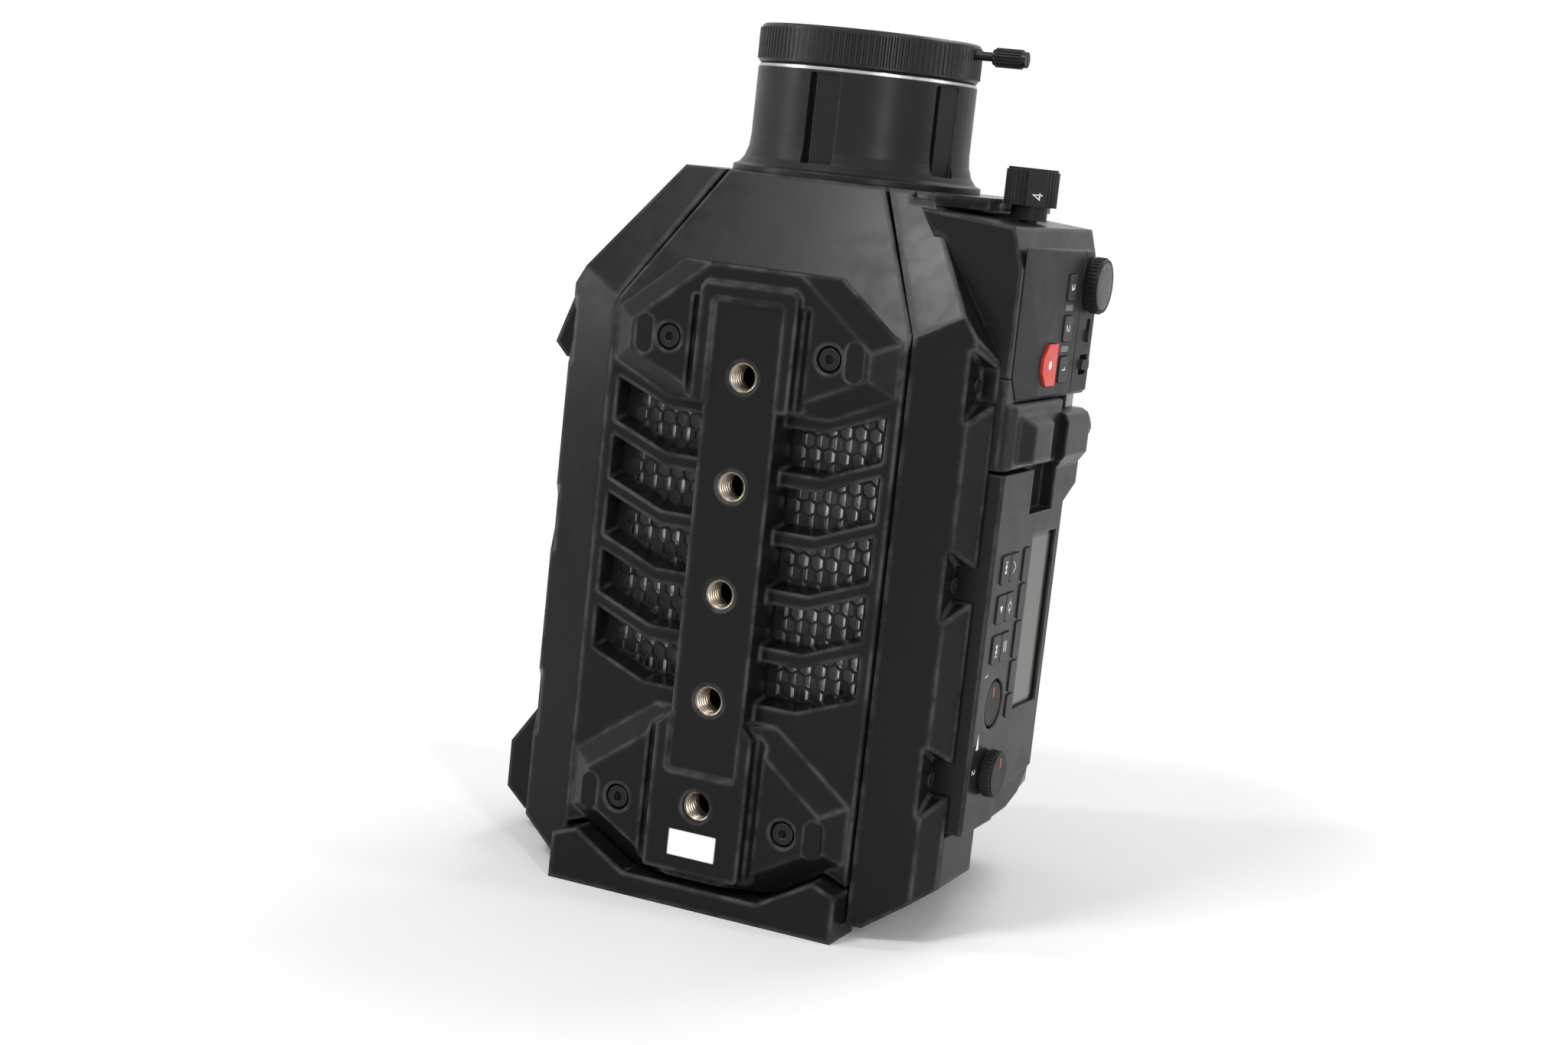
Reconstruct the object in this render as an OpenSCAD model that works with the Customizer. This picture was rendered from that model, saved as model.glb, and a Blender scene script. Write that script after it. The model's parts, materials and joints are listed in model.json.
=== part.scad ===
// Modular broadcast camera body, stood on its rear frame with the lens mount up.
// Lengths are millimetres. +Z runs along the lens axis towards the lens, -Y is the
// underside, +X is the operator's side, and z = 0 is the plane that it stands on.

/* [Body] */
// Lens axis down to the rail face of the underside
rail_drop = 74.7; // [72:0.1:80]
// Lens axis up to the top cover's face
top_rise = 72.8; // [70:0.1:80]
// Lens axis out to each side wall
side_half = 76; // [75:0.5:84]
// Lens axis out to the crease where the underside meets the bevel
crease_half = 71; // [68:0.5:73]
// Lens axis down to that crease
crease_drop = 59.6; // [56:0.2:62]
// Height of the front plate's face
front_z = 238.4; // [230:0.2:250]
// Height where the nose starts to slope
nose_z = 193.9; // [185:0.1:197]
// Height where the front corners start to slope
corner_z = 196; // [188:0.5:200]
// Thickness of the side shells
wall = 3; // [2.4:0.1:3.4]

/* [Underside tray] */
// Half width of the tray, up to its seams
tray_half = 51.4; // [50.6:0.1:51.8]
// Distance between two accessory threads along the rail
hole_pitch = 35; // [34:0.1:36]
// Height of the lowest accessory thread
hole_z = 34.6; // [33:0.1:36]
// Width of the rail
rail_w = 25.6; // [22:0.2:28]
// Height between two louvres
vent_pitch = 19.05; // [17.5:0.05:19.5]
// Open height of a louvre slot
vent_gap = 14.2; // [11:0.1:15]
// Slope of the outer part of a louvre, in degrees
vent_slope = 21.5; // [12:0.5:26]
// Distance across the flats of a mesh cell
cell = 4.2; // [3.6:0.1:6]
// Width of the bars between mesh cells
cell_bar = 0.8; // [0.6:0.1:1.2]

/* [Lens mount] */
// Radius of the mount barrel
barrel_r = 37; // [35:0.2:38]
// Radius of the barrel's foot
foot_r = 42.1; // [40:0.1:43]
// Height where the locking ring starts
ring_z = 274.6; // [268:0.2:285]
// Height of the locking ring
ring_h = 12.9; // [10:0.1:15]
// Radius over the ridges of the locking ring
ring_r = 37.6; // [37:0.1:40]
// Radius of the mount's free opening
throat_r = 27; // [22:0.5:29]
// Length of the locking ring's lever grip
grip_len = 11.5; // [9:0.5:18]

/* [Operator side] */
// How far the door and the control housing stand out from the side wall
proud = 5.3; // [4:0.1:7]
// Lens axis down to the lower wall of the door and the housing
panel_drop = 49; // [47:0.5:50]
// Lens axis up to the upper wall of the door and the housing
panel_rise = 30; // [27:0.5:34]
// Height of the door's free end
door_z = 36; // [34:0.5:40]
// Height of the door's hinged end
door_top_z = 153.4; // [150:0.2:154]
// Height of the hinge axis
hinge_z = 164.8; // [163:0.2:167]
// Radius of the hinge pin
pin_r = 2; // [1.6:0.1:2.4]
// Diameter of the filter knob
filter_knob_d = 17.4; // [15:0.2:19]
// Diameter of the level knob
level_knob_d = 18.9; // [16:0.1:20]
// Diameter of the two audio dials
dial_d = 15.6; // [13:0.2:16.4]

/* [Hidden] */

$fn = 64;

// Overrun that cuts take past the faces they open
over = 1;
// Gap of a seam that shows between two covers
seam = 1.2;
// Gap between pieces that lie beside each other
fit = 0.3;
// Radial play of a turning fit
play = 0.05;
// Gap around keys and buttons
key_gap = 0.25;
// Depth of the edge chamfers
edge = 0.8;
// Seam around the door in its hollow
recess_gap = 1.2;

// Envelope
groove_half = tray_half + seam / 2;
groove_sink = 9.6;
groove_drop = rail_drop - groove_sink;
bevel_drop = panel_drop;
shoulder_low = 14;
shoulder_sink = 26.8;
shoulder_rise = top_rise - shoulder_sink;
shoulder_inset = 5;
shoulder_half = side_half - shoulder_inset;
top_inset = 14;
top_half = side_half - top_inset;
rear_z = 4;
rear_inset = 19;
rear_half = side_half - rear_inset;
rear_corner_z = 14;
nose_top_drop = 42.1;
nose_top_half = 27.4;
front_inset = 32.5;
front_half = side_half - front_inset;
top_front_z = 208;
top_front_sink = 20.8;
top_front_rise = top_rise - top_front_sink;
top_rear_z = 22;
top_rear_sink = 10.8;
top_rear_rise = top_rise - top_rear_sink;
corner_slope = (crease_half - front_half) / (front_z - corner_z);
rear_slope = (rear_corner_z - rear_z) / (crease_half - rear_half);
nose_slope = (groove_drop - nose_top_drop) / (front_z - nose_z);
top_front_slope = (top_rise - top_front_rise) / (front_z - top_front_z);
top_rear_slope = (top_rise - top_rear_rise) / (top_rear_z - rear_z);
wide = side_half + over;

// Underside tray
plate_sink = 7.2;
plate_drop = rail_drop - plate_sink;
tray_depth = 16.5;
tray_in = rail_drop - tray_depth;
tray_bend_z = nose_z - (plate_drop - groove_drop) / nose_slope;
surround_proud = 1.4;
surround_drop = rail_drop + surround_proud;
pad_sink = 1.3;
pad_drop = rail_drop - pad_sink;
insert_r = 5;
insert_len = 12;
// Minor radius of the 3/8-16 thread
thread_r = 3.97;
holes = 5;
vents = 5;
vent_z = 70;
vent_half = 47.5;
vent_bend = 27.4;
vent_lift = 1.5;
vent_r = 1.4;
screw_head_r = 3.5;
screw_head_h = 3.6;
screw_r = 2;
screw_len = 9;
socket_af = 3;
socket_depth = 2;
pit_r = 4.4;
pit_depth = 4.2;
upper_screw_half = 28.1;
upper_screw_z = 184.1;
lower_screw_half = 30;
lower_screw_z = 31.3;
plug_w = 5.4;
plug_h = 11.8;
plug_t = 1.6;
plug_gap = 0.12;
upper_plug_half = 36.8;
lower_plug_half = 40.6;
pocket_depth = surround_drop - rail_drop;
pocket_top_z = 198.6;
pocket_low_z = 45;
surround_top_z = 203.6;
surround_side = 4.2;
surround_low_z = 60;
lower_rail_z = 12;
frame_run = 7.6;
groove_w = 3.6;
groove_depth = 2.2;
mesh_t = 1;
mesh_rim = 3;

// Rear lip
lip_proud = 1.1;
lip_drop = rail_drop + lip_proud;
lip_mid_half = 24.2;
lip_mid_z = 7.4;
lip_peak_half = 43;
lip_peak_z = 18.5;
lip_end_z = 15.3;
lip_gap = 2;

// Chassis
chassis_inset = 9;
chassis_half = side_half - chassis_inset;
chassis_t = 2.5;
chassis_drop = tray_in - mesh_t;
chassis_sink = 6.8;
chassis_rise = top_rise - chassis_sink;
chassis_z = door_z - recess_gap;
chassis_front_z = 231;
bulkhead_z = 196;
bulkhead_t = 3;
window_half = 48.5;
window_low_z = 63;
window_top_z = 170;
light_r = 24;

// Shell pockets
pocket_z = [54, 117.4, 180.8];
pocket_half_h = 11;
pocket_short_half = 5.5;
pocket_rise = 10.6;
pocket_wall = 2.2;
pocket_floor = crease_half - 1.5;
side_screw_r = 2.6;
side_screw_h = 1.6;
side_shank_r = 1.5;
side_screw_up = 6;

// Front plate and mount
plate_t = 4;
deck_z = front_z - plate_t;
deck_inset = 19;
deck_half = side_half - deck_inset;
deck_low = 24;
deck_high = 38;
front_in_z = 231.4;
foot_h = 2;
flare_z = 251;
seat_h = 1;
seat_z = ring_z - seat_h - fit;
barrel_bore = 31;
seat_neck_r = 32.6;
ridges = 120;
ridge_depth = 0.55;
ring_rim = 1.4;
panel_angles = [2, 70, 182, 250];
panel_span = 15;
panel_sink = 0.7;
slot_w = 2.4;
slot_sink = 4;
panel_low_z = 243;
lever_z = ring_z + ring_h * 0.72;
neck_r = 1.5;
neck_len = 6.5;
grip_r = 3.2;
grip_slots = 18;
glass_z = 262;
glass_t = 5;
sensor_half_w = 17;
sensor_half_h = 12;
sensor_t = 9;

// Filter wheel
wheel_x = 22;
wheel_y = 9.6;
wheel_r = 34.5;
wheel_t = 3;
wheel_z = 206;
orbit = norm([wheel_x, wheel_y]);
filter_r = 10.5;
filters = 4;
axle_r = 3;
knob_inset = 10.9;
knob_x = side_half - knob_inset;
knob_y = -8;
knob_z = 237.2;
knob_h = 12.2;
knob_neck_r = 6;
knob_shaft_r = 3;
knob_shaft_len = 12;
knob_flat_share = 0.9;

// Cooling
fin_t = 1.2;
fins = 19;
fin_h = 8.3;
sink_t = 3;
sink_low_z = 66;
sink_top_z = 167;
fan_z = 112;
fan_side = 76;
fan_rim = 4;
fan_r = fan_side / 2 - fan_rim;
fan_h = 12;
fin_drop = chassis_drop - mesh_t - fit;
fan_drop = fin_drop - fin_h - sink_t;
hub_r = 12;
fan_play = 1;
blades = 7;
blade_t = 1.4;
board_t = 1.6;
board_y = 8;

// Top
top_in = chassis_rise;
top_cover_inset = 8;
top_cover_half = top_half - top_cover_inset;
top_cover_low_z = 38;
small_thread_r = 2.6;
top_hole_pitch = 40;
top_holes = 4;
top_hole_z = 50;
top_side_holes = 25;

// Rear
frame_top_z = chassis_z;
notch_drop = 19.5;
notch_slope = 0.36;
opening_half = 45;
opening_low = 42;
opening_high = 46;
battery_t = 6;
battery_z = 0;
window_margin = 8;
wedge_top_half = 31;
wedge_low_half = 22;
wedge_len = 43;
wedge_depth = 3.4;
latch_w = 14;
latch_h = 9;
latch_travel = 2.5;
contact_r = 1.2;
contacts = 4;
contact_pitch = 9;

// Camera's right side
bracket_top_z = 196;
bracket_peak_z = 173.5;
bracket_low_z = 168.8;
bracket_proud = 13.5;
bracket_out = side_half + bracket_proud;
bracket_foot_proud = 8.8;
bracket_foot = side_half + bracket_foot_proud;
bracket_top_proud = 5.5;
bracket_top_out = side_half + bracket_top_proud;
bracket_drop = 36;
bracket_rise = 6;
io_proud = 16.3;
io_out = side_half + io_proud;
io_drop = 36;
io_rise = 14;
io_low_z = 8.2;
io_foot_proud = 8.5;
io_foot = side_half + io_foot_proud;
io_face_low_z = 15;
io_face_top_z = 31.5;
io_shoulder_proud = 7;
io_shoulder = side_half + io_shoulder_proud;
io_shoulder_z = 45;
io_top_z = 54;
socket_r = 4.8;
socket_len = 5.5;
socket_pin_r = 1.1;
socket_count = 3;
socket_pitch = 15.8;
socket_recess_r = 7.2;
socket_recess = 3.5;

// Operator side
face_x = side_half + proud;
recess_depth = 7.5;
recess_floor = side_half - recess_depth;
recess_low_z = door_z - recess_gap;
recess_top_z = 175.8;
housing_proud = 3;
housing_face = side_half + housing_proud;
housing_low_z = recess_top_z + fit;
housing_top_z = 233.6;
housing_tip_z = 231;
housing_tip_inset = 0.7;
housing_tip_x = side_half - housing_tip_inset;
housing_taper_z = 218;
block_low_z = 176.8;
block_top_z = 225;
block_low_drop = 46;
block_rise = 26;
face_drop = 25;
strip_y = 8;
strip_groove = 0.9;
key_w = 8.2;
key_h = 8.4;
key_y = -3.2;
key_zs = [185.6, 199, 212.6];
lamp_w = 7.4;
lamp_h = 2;
lamp_zs = [192.3, 205.8];
key_t = 4;
key_out = 0.5;
rec_z = 187.6;
rec_y = -19;
rec_w = 13;
rec_h = 13.6;
rec_out = 1;
knob_side_y = 17;
knob_side_z = 213.2;
level_knob_h = 4.6;
level_ridges = 40;
shaft_r = 2.5;
shaft_len = 6;
slide_y = 19.6;
slide_z = 197.8;
slide_slot_h = 8;
slide_slot_w = 4;
slide_travel = 3.4;
toggle_z = 186.4;
toggle_y = 18.5;
toggle_w = 8;
toggle_h = 6.8;
hinge_x = side_half + 2.5;
knuckle_r = 5.2;
step_drop = 41.5;
step_top_z = 183.7;
arm_inset = 2.5;
arm_in = side_half - arm_inset;
arm_proud = 8.3;
arm_out = side_half + arm_proud;
arm_top_z = 171.4;
arm_round = 3.4;
corner_run = 6.6;
arm_low = 2.5;
pin_reach = 12;
arm_high = 25.6;
knuckle_high = 29.6;
bump_low_z = 156.2;
bump_top_z = 172;
bump_from = -38;
bump_to = -14.5;
bump_out = 3.6;

// Door
door_depth = 6.9;
door_in = side_half - door_depth;
door_low = panel_drop - recess_gap;
door_far = 16;
door_far_proud = 0.6;
door_far_x = side_half + door_far_proud;
door_high = panel_rise - recess_gap;
step_y = -18.4;
step_z = 44.5;
step_end_z = 50;
shoulder_z = 139.5;
shoulder_top_z = 145.5;
finger_from = -19;
finger_to = 4;
finger_low_z = 138.5;
finger_depth = 5;
lcd_from = -11.5;
lcd_to = 12;
lcd_low_z = 72;
lcd_top_z = 131;
lcd_sink = 1.2;
lcd_t = 1.5;
soft_w = 5.6;
soft_gap = 1.2;
soft_y = -16.4;
soft_edges = [70.3, 79, 90.3, 103.5, 116, 128];
trans_w = 7.4;
trans_h = 9;
trans_ys = [-36.6, -28.4];
trans_zs = [96.2, 109.4, 122.4];
dial_y = -31.6;
dial_in_z = 77.4;
dial_out_z = 54.6;
dial_in_h = 3;
dial_out_h = 4.6;
dial_ridges = 36;
dial_shaft_r = 2;
screen_t = 1.6;
screen_gap = 5;
screen_low_z = step_end_z + wall;

// Half width of the sloped front corners at a height, with an inset
function corner_x(z, i) = crease_half - i - (z - corner_z) * corner_slope;
// Depth of the sloped nose below the lens axis at a height, with an inset
function nose_y(z, i) = -(groove_drop - i) + (z - nose_z) * nose_slope;
// Height of the top's front slope at a height, with an inset
function brow_y(z, i) = top_rise - i - (z - top_front_z) * top_front_slope;
// Points of a wheel with square ridges around it
function ridged(r, depth, count) = [
  for (k = [0 : count - 1], j = [0 : 3])
    let (a = (k + j / 4) * 360 / count, s = j < 2 ? r : r - depth) [s * cos(a), s * sin(a)]
];
// The points with their mirror images in the Y axis, as one closed outline
function both(p) = concat(p, [for (k = [len(p) - 1 : -1 : 0]) [-p[k][0], p[k][1]]]);

// Local +Z points out of the underside, local X and Y are the camera's X and Z
module under(x, z, drop) {
  translate([x, -drop, z]) rotate([90, 0, 0]) children();
}

// Local +Z points out of the operator's side, local X and Y are the camera's Y and Z
module outward(y, z, x) {
  translate([x, y, z]) rotate([90, 0, 90]) children();
}

// Local +Z points out of the grip side, local X is the camera's -Y and local Y its Z
module gripward(y, z, x) {
  translate([-x, y, z]) rotate([90, 0, -90]) children();
}

// Extrudes an outline in X and Z between two depths below the lens axis
module slab_y(from_drop, to_drop) {
  translate([0, -to_drop, 0]) rotate([90, 0, 0]) linear_extrude(from_drop - to_drop) children();
}

// Extrudes an outline in Y and Z between two distances along X
module slab_x(from_x, to_x) {
  translate([from_x, 0, 0]) rotate([90, 0, 90]) linear_extrude(to_x - from_x) children();
}

module block(lo, hi) {
  translate(lo) cube(hi - lo);
}

module rounded(w, h, r) {
  square([w - 2 * r, h], center = true);
  square([w, h - 2 * r], center = true);
  for (x = [-1, 1], y = [-1, 1]) translate([x * (w / 2 - r), y * (h / 2 - r)]) circle(r);
}

module section(i) {
  polygon(both([
    [groove_half, -groove_drop + i], [crease_half - i, -crease_drop + i],
    [side_half - i, -bevel_drop], [side_half - i, shoulder_low],
    [shoulder_half - i, shoulder_rise], [top_half - i, top_rise - i]
  ]));
}

module plan(i) {
  lo = -over;
  hi = front_z + 2 * over;
  polygon(both([
    [rear_half - i + (lo - rear_z - i) / rear_slope, lo],
    [wide, rear_z + i + (wide - rear_half + i) * rear_slope],
    [wide, corner_z - (wide - crease_half + i) / corner_slope],
    [corner_x(hi, i), hi]
  ]));
}

module profile(i) {
  lo = -over;
  hi = front_z + 2 * over;
  low = rail_drop + over;
  high = top_rise + over;
  polygon([
    [-low, lo], [-low, nose_z - (low - groove_drop + i) / nose_slope], [nose_y(hi, i), hi],
    [brow_y(hi, i), hi], [high, top_front_z - (high - top_rise + i) / top_front_slope],
    [high, top_rear_z + i + (high - top_rise) / top_rear_slope],
    [top_rear_rise - i + (lo - rear_z - i) * top_rear_slope, lo]
  ]);
}

// The body's outer form with every face moved in by i, between two heights
module form(i, lo, hi) {
  intersection() {
    translate([0, 0, lo]) linear_extrude(hi - lo) section(i);
    slab_y(rail_drop + over, -top_rise - over) plan(i);
    slab_x(-wide, wide) profile(i);
  }
}

module chassis() {
  inner_half = chassis_half - chassis_t;
  color("dimgray") difference() {
    intersection() {
      form(wall, chassis_z, chassis_front_z);
      block([-chassis_half, -chassis_drop, chassis_z], [chassis_half, chassis_rise, front_z]);
    }
    intersection() {
      form(wall + chassis_t, chassis_z - over, bulkhead_z);
      block([-inner_half, -chassis_drop + chassis_t, chassis_z - over],
        [inner_half, chassis_rise - chassis_t, bulkhead_z]);
    }
    intersection() {
      form(wall + chassis_t, bulkhead_z + bulkhead_t, front_z);
      block([-inner_half, -rail_drop, bulkhead_z + bulkhead_t],
        [inner_half, chassis_rise - chassis_t, front_z]);
    }
    block([-window_half, -rail_drop, window_low_z], [window_half, -chassis_drop + wall, window_top_z]);
    cylinder(r = light_r, h = front_z);
    translate([wheel_x, wheel_y, bulkhead_z - over]) cylinder(r = axle_r, h = bulkhead_t + 2 * over);
    tray_clear();
  }
}

module tray_outline() {
  polygon(both([
    [lip_mid_half, lip_mid_z + lip_gap], [lip_peak_half, lip_peak_z + lip_gap],
    [tray_half, lip_end_z + lip_gap], [tray_half, nose_z], [nose_top_half, front_z]
  ]));
}

module tray_plate() {
  slab_t = plate_drop - tray_in;
  intersection() {
    slab_y(plate_drop + over, -over) tray_outline();
    slab_x(-tray_half - over, tray_half + over) polygon([
      [-plate_drop, 0], [-plate_drop, nose_z - (plate_drop - groove_drop) / nose_slope],
      [-nose_top_drop, front_z], [-nose_top_drop + slab_t, front_z],
      [-tray_in, tray_bend_z], [-tray_in, 0]
    ]);
  }
}

// Corners of the two raised frames' feet, from the middle outwards
upper_foot = [[29.5, 165], [49.6, 174.2], [49.6, 191.4], [27.5, 209.4]];
lower_foot = [[24.4, lip_mid_z + lip_gap], [49.6, 24], [49.6, 43], [22, 63.6]];

// One raised frame: the foot's outline with every wall sloping in to a flat top
module raised(corners) {
  foot = both(corners);
  rise = pad_drop - plate_drop;
  slope = frame_run / rise;
  difference() {
    slab_y(pad_drop, plate_drop - over) polygon(foot);
    for (k = [0 : len(foot) - 1]) {
      a = foot[k];
      side = foot[(k + 1) % len(foot)] - a;
      if (abs(side[1]) > over)
        translate([a[0], -plate_drop, a[1]]) rotate([0, -atan2(side[1], side[0]), 0])
          slab_x(-2 * frame_run, norm(side) + 2 * frame_run) polygon([
            [over, -over * slope], [-rise - over, (rise + over) * slope],
            [-rise - over, -frame_run], [over, -frame_run]
          ]);
    }
  }
}

module bottom_tray() {
  rail_half = rail_w / 2;
  outer_half = rail_half + surround_side;
  color("#262626") difference() {
    union() {
      difference() {
        tray_plate();
        for (k = [0 : vents - 1], s = [-1, 1]) vent_cut(vent_z + k * vent_pitch, s);
      }
      raised(upper_foot);
      raised(lower_foot);
      slab_y(rail_drop, tray_in) polygon([
        [-rail_half, lower_rail_z], [rail_half, lower_rail_z],
        [rail_half, surround_top_z - edge], [-rail_half, surround_top_z - edge]
      ]);
      slab_y(surround_drop, plate_drop) polygon(both([
        [outer_half - edge, lower_rail_z], [outer_half, lower_rail_z + edge],
        [outer_half, surround_low_z], [outer_half - surround_side, surround_low_z + surround_side]
      ]));
      slab_y(surround_drop, plate_drop) polygon(both([
        [outer_half - edge, upper_foot[0][1]], [outer_half, upper_foot[0][1] + edge],
        [outer_half, surround_top_z - 2 * edge], [outer_half - 2 * edge, surround_top_z]
      ]));
    }
    under(0, (pocket_top_z + pocket_low_z) / 2, rail_drop)
      linear_extrude(pocket_depth + over)
        rounded(rail_w - over, pocket_top_z - pocket_low_z, 2 * edge);
    for (k = [0 : holes - 1]) under(0, hole_z + k * hole_pitch, tray_in - over)
      cylinder(r = insert_r, h = surround_drop - tray_in + 2 * over);
    for (s = [-1, 1]) {
      frame_groove(s, outer_half);
      screw_pit(s * upper_screw_half, upper_screw_z);
      screw_pit(s * lower_screw_half, lower_screw_z);
      plug_pit(s * upper_plug_half, upper_screw_z);
      plug_pit(s * lower_plug_half, lower_screw_z);
    }
  }
}

// One louvre slot: a flat stretch by the rail and a sloped one outside it
module vent_cut(z, s) {
  depth = plate_drop - tray_in + 2 * over;
  tall = vent_gap * cos(vent_slope);
  lift = vent_lift;
  mirror([s < 0 ? 1 : 0, 0, 0]) {
    slab_x(rail_w / 2, vent_bend + play) vent_section(z, vent_gap, lift, depth);
    intersection() {
      translate([vent_bend, 0, z]) rotate([0, -vent_slope, 0])
        slab_x(-vent_gap, 2 * vent_bend) vent_section(0, tall, lift * cos(vent_slope), depth);
      block([vent_bend - play, -rail_drop, 0], [vent_half, 0, front_z]);
    }
  }
}

// The slot's outline across its length: its lower wall rises inwards
module vent_section(z, tall, lift, depth) {
  polygon([
    [-plate_drop - over, z], [-plate_drop + over, z], [-plate_drop - over + depth, z + lift],
    [-plate_drop - over + depth, z + tall], [-plate_drop - over, z + tall]
  ]);
}

// The groove between a frame's pad and the rail's surround
module frame_groove(s, from_x) {
  mirror([s < 0 ? 1 : 0, 0, 0]) for (z = [[upper_foot[0][1] - wall, pocket_top_z],
      [lower_rail_z, lower_foot[3][1] + wall]])
    block([from_x, -surround_drop - over, z[0]],
      [from_x + groove_w, -pad_drop + groove_depth, z[1]]);
}

module screw_pit(x, z) {
  under(x, z, pad_drop - pit_depth) cylinder(r = pit_r, h = pit_depth + over);
  under(x, z, tray_in - over) cylinder(r = screw_r, h = pad_drop - tray_in);
}

module plug_pit(x, z) {
  under(x, z, pad_drop - plug_t) linear_extrude(plug_t + over)
    rounded(plug_w + 2 * plug_gap, plug_h + 2 * plug_gap, plug_w / 2 + plug_gap - play);
}

module vent_mesh() {
  low = window_low_z + fit;
  high = window_top_z - fit;
  wide_half = window_half + mesh_rim;
  color("#1c1c1c") difference() {
    slab_y(tray_in, tray_in - mesh_t) polygon(both([
      [wide_half - mesh_rim, low - mesh_rim], [wide_half, low], [wide_half, high],
      [wide_half - mesh_rim, high + mesh_rim]
    ]));
    for (s = [-1, 1]) mirror([s < 0 ? 1 : 0, 0, 0]) mesh_cells(low, high);
  }
}

// Rows of six-sided cells on one side of the rail, where the slots show them
module mesh_cells(low, high) {
  step = cell + cell_bar;
  row = step * sin(60);
  rows = floor((high - low - cell) / row);
  count = floor((vent_half - rail_w / 2) / step);
  for (j = [0 : rows], k = [0 : count - 1]) {
    x = rail_w / 2 + step / 2 + (k + (j % 2) / 2) * step;
    if (x < vent_half - cell / 2)
      under(x, low + cell / 2 + j * row, tray_in - mesh_t - over)
        linear_extrude(mesh_t + 2 * over) rotate(30) circle(d = cell / cos(30), $fn = 6);
  }
}

module thread_inserts() {
  color("silver") for (k = [0 : holes - 1])
    under(0, hole_z + k * hole_pitch, surround_drop - insert_len + fit) difference() {
      cylinder(r = insert_r - play / 2, h = insert_len - pocket_depth - 2 * fit);
      translate([0, 0, -over]) cylinder(r = thread_r, h = insert_len + 2 * over);
    }
}

module cap_screw(head_r, head_h, shank_r, shank_len, af, deep) {
  difference() {
    union() {
      cylinder(r = head_r, h = head_h);
      translate([0, 0, -shank_len]) cylinder(r = shank_r, h = shank_len + over);
    }
    translate([0, 0, head_h - deep]) linear_extrude(deep + over)
      circle(d = af / cos(30), $fn = 6);
  }
}

module tray_screws() {
  color("#202020") for (s = [-1, 1]) {
    under(s * upper_screw_half, upper_screw_z, pad_drop - pit_depth)
      cap_screw(screw_head_r, screw_head_h, screw_r - play, screw_len, socket_af, socket_depth);
    under(s * lower_screw_half, lower_screw_z, pad_drop - pit_depth)
      cap_screw(screw_head_r, screw_head_h, screw_r - play, screw_len, socket_af, socket_depth);
  }
}

module tray_plugs() {
  color("#303030") for (s = [-1, 1], lower = [0, 1])
    under(s * (lower ? lower_plug_half : upper_plug_half),
      lower ? lower_screw_z : upper_screw_z, pad_drop - plug_t)
      linear_extrude(plug_t - play) rounded(plug_w, plug_h, plug_w / 2 - play);
}

// The arrow-like outline of a screw pocket, seen from the side, grown by g
module pocket_outline(z, g) {
  polygon([
    [-crease_drop - 2 * over - g, z - pocket_half_h - g], [-crease_drop + over, z - pocket_half_h - g],
    [-crease_drop + pocket_rise + g, z - pocket_short_half - g / 2],
    [-crease_drop + pocket_rise + g, z + pocket_short_half + g / 2],
    [-crease_drop + over, z + pocket_half_h + g], [-crease_drop - 2 * over - g, z + pocket_half_h + g]
  ]);
}

// One side shell for the side where x is positive
module shell() {
  difference() {
    union() {
      difference() {
        form(0, rear_z, front_z);
        form(wall, rear_z - over, front_z + over);
      }
      intersection() {
        form(0, rear_z, front_z);
        for (z = pocket_z) slab_x(chassis_half, wide) pocket_outline(z, pocket_wall);
      }
    }
    block([-wide, -rail_drop - over, 0], [0, top_rise + over, front_z + over]);
    slab_y(rail_drop + over, 0) polygon([
      [-over, 0], [groove_half, 0], [groove_half, nose_z], [nose_top_half + seam, front_z + over],
      [-over, front_z + over]
    ]);
    block([-over, 0, 0], [top_cover_half + fit, top_rise + over, front_z + over]);
    block([-over, -bevel_drop, 0], [wide, top_rise + over, frame_top_z]);
    for (z = pocket_z) {
      slab_x(pocket_floor, wide) pocket_outline(z, 0);
      outward(-crease_drop + side_screw_up, z, chassis_half - over)
        cylinder(r = side_shank_r + play, h = wall + over);
    }
  }
}

module shell_operator() {
  color("#262626") difference() {
    union() {
      shell();
      recess_wall();
    }
    block([recess_floor, -panel_drop, recess_low_z], [wide, panel_rise, recess_top_z]);
    slab_y(nose_top_drop + over, -deck_high - fit) deck_outline(fit);
  }
}

// The walls of the hollow that the door lies in
module recess_wall() {
  intersection() {
    form(0, rear_z, front_z);
    block([chassis_half + play, -panel_drop, frame_top_z],
      [wide, panel_rise + wall, recess_top_z + fit]);
  }
}

module deck_outline(g) {
  polygon([
    [front_half - 2 * wall, deck_z - g], [deck_half + g, deck_z - g],
    [deck_half + g, front_z + over], [front_half - 2 * wall, front_z + over]
  ]);
}

module shell_grip() {
  color("#262626") mirror([1, 0, 0]) shell();
}

module shell_screws() {
  color("#1e1e1e") for (z = pocket_z, s = [0, 1]) mirror([s, 0, 0])
    outward(-crease_drop + side_screw_up, z, pocket_floor)
      cap_screw(side_screw_r, side_screw_h, side_shank_r, pocket_floor - chassis_half - fit,
        socket_af / 2, side_screw_h / 2);
}

module front_cover() {
  color("#262626") difference() {
    union() {
      form(wall, front_in_z, front_z);
      translate([0, 0, deck_z]) linear_extrude(plate_t) polygon([
        [0, -nose_top_drop + wall + play], [front_half, -nose_top_drop + wall + play],
        [deck_half, -deck_low], [deck_half, deck_high], [0, deck_high]
      ]);
    }
    translate([0, 0, front_in_z - over]) cylinder(r = barrel_bore - wall, h = front_z);
    translate([knob_x, knob_y, deck_z - over]) cylinder(d = filter_knob_d + 4 * fit, h = proud + over);
    tray_clear();
  }
}

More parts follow.
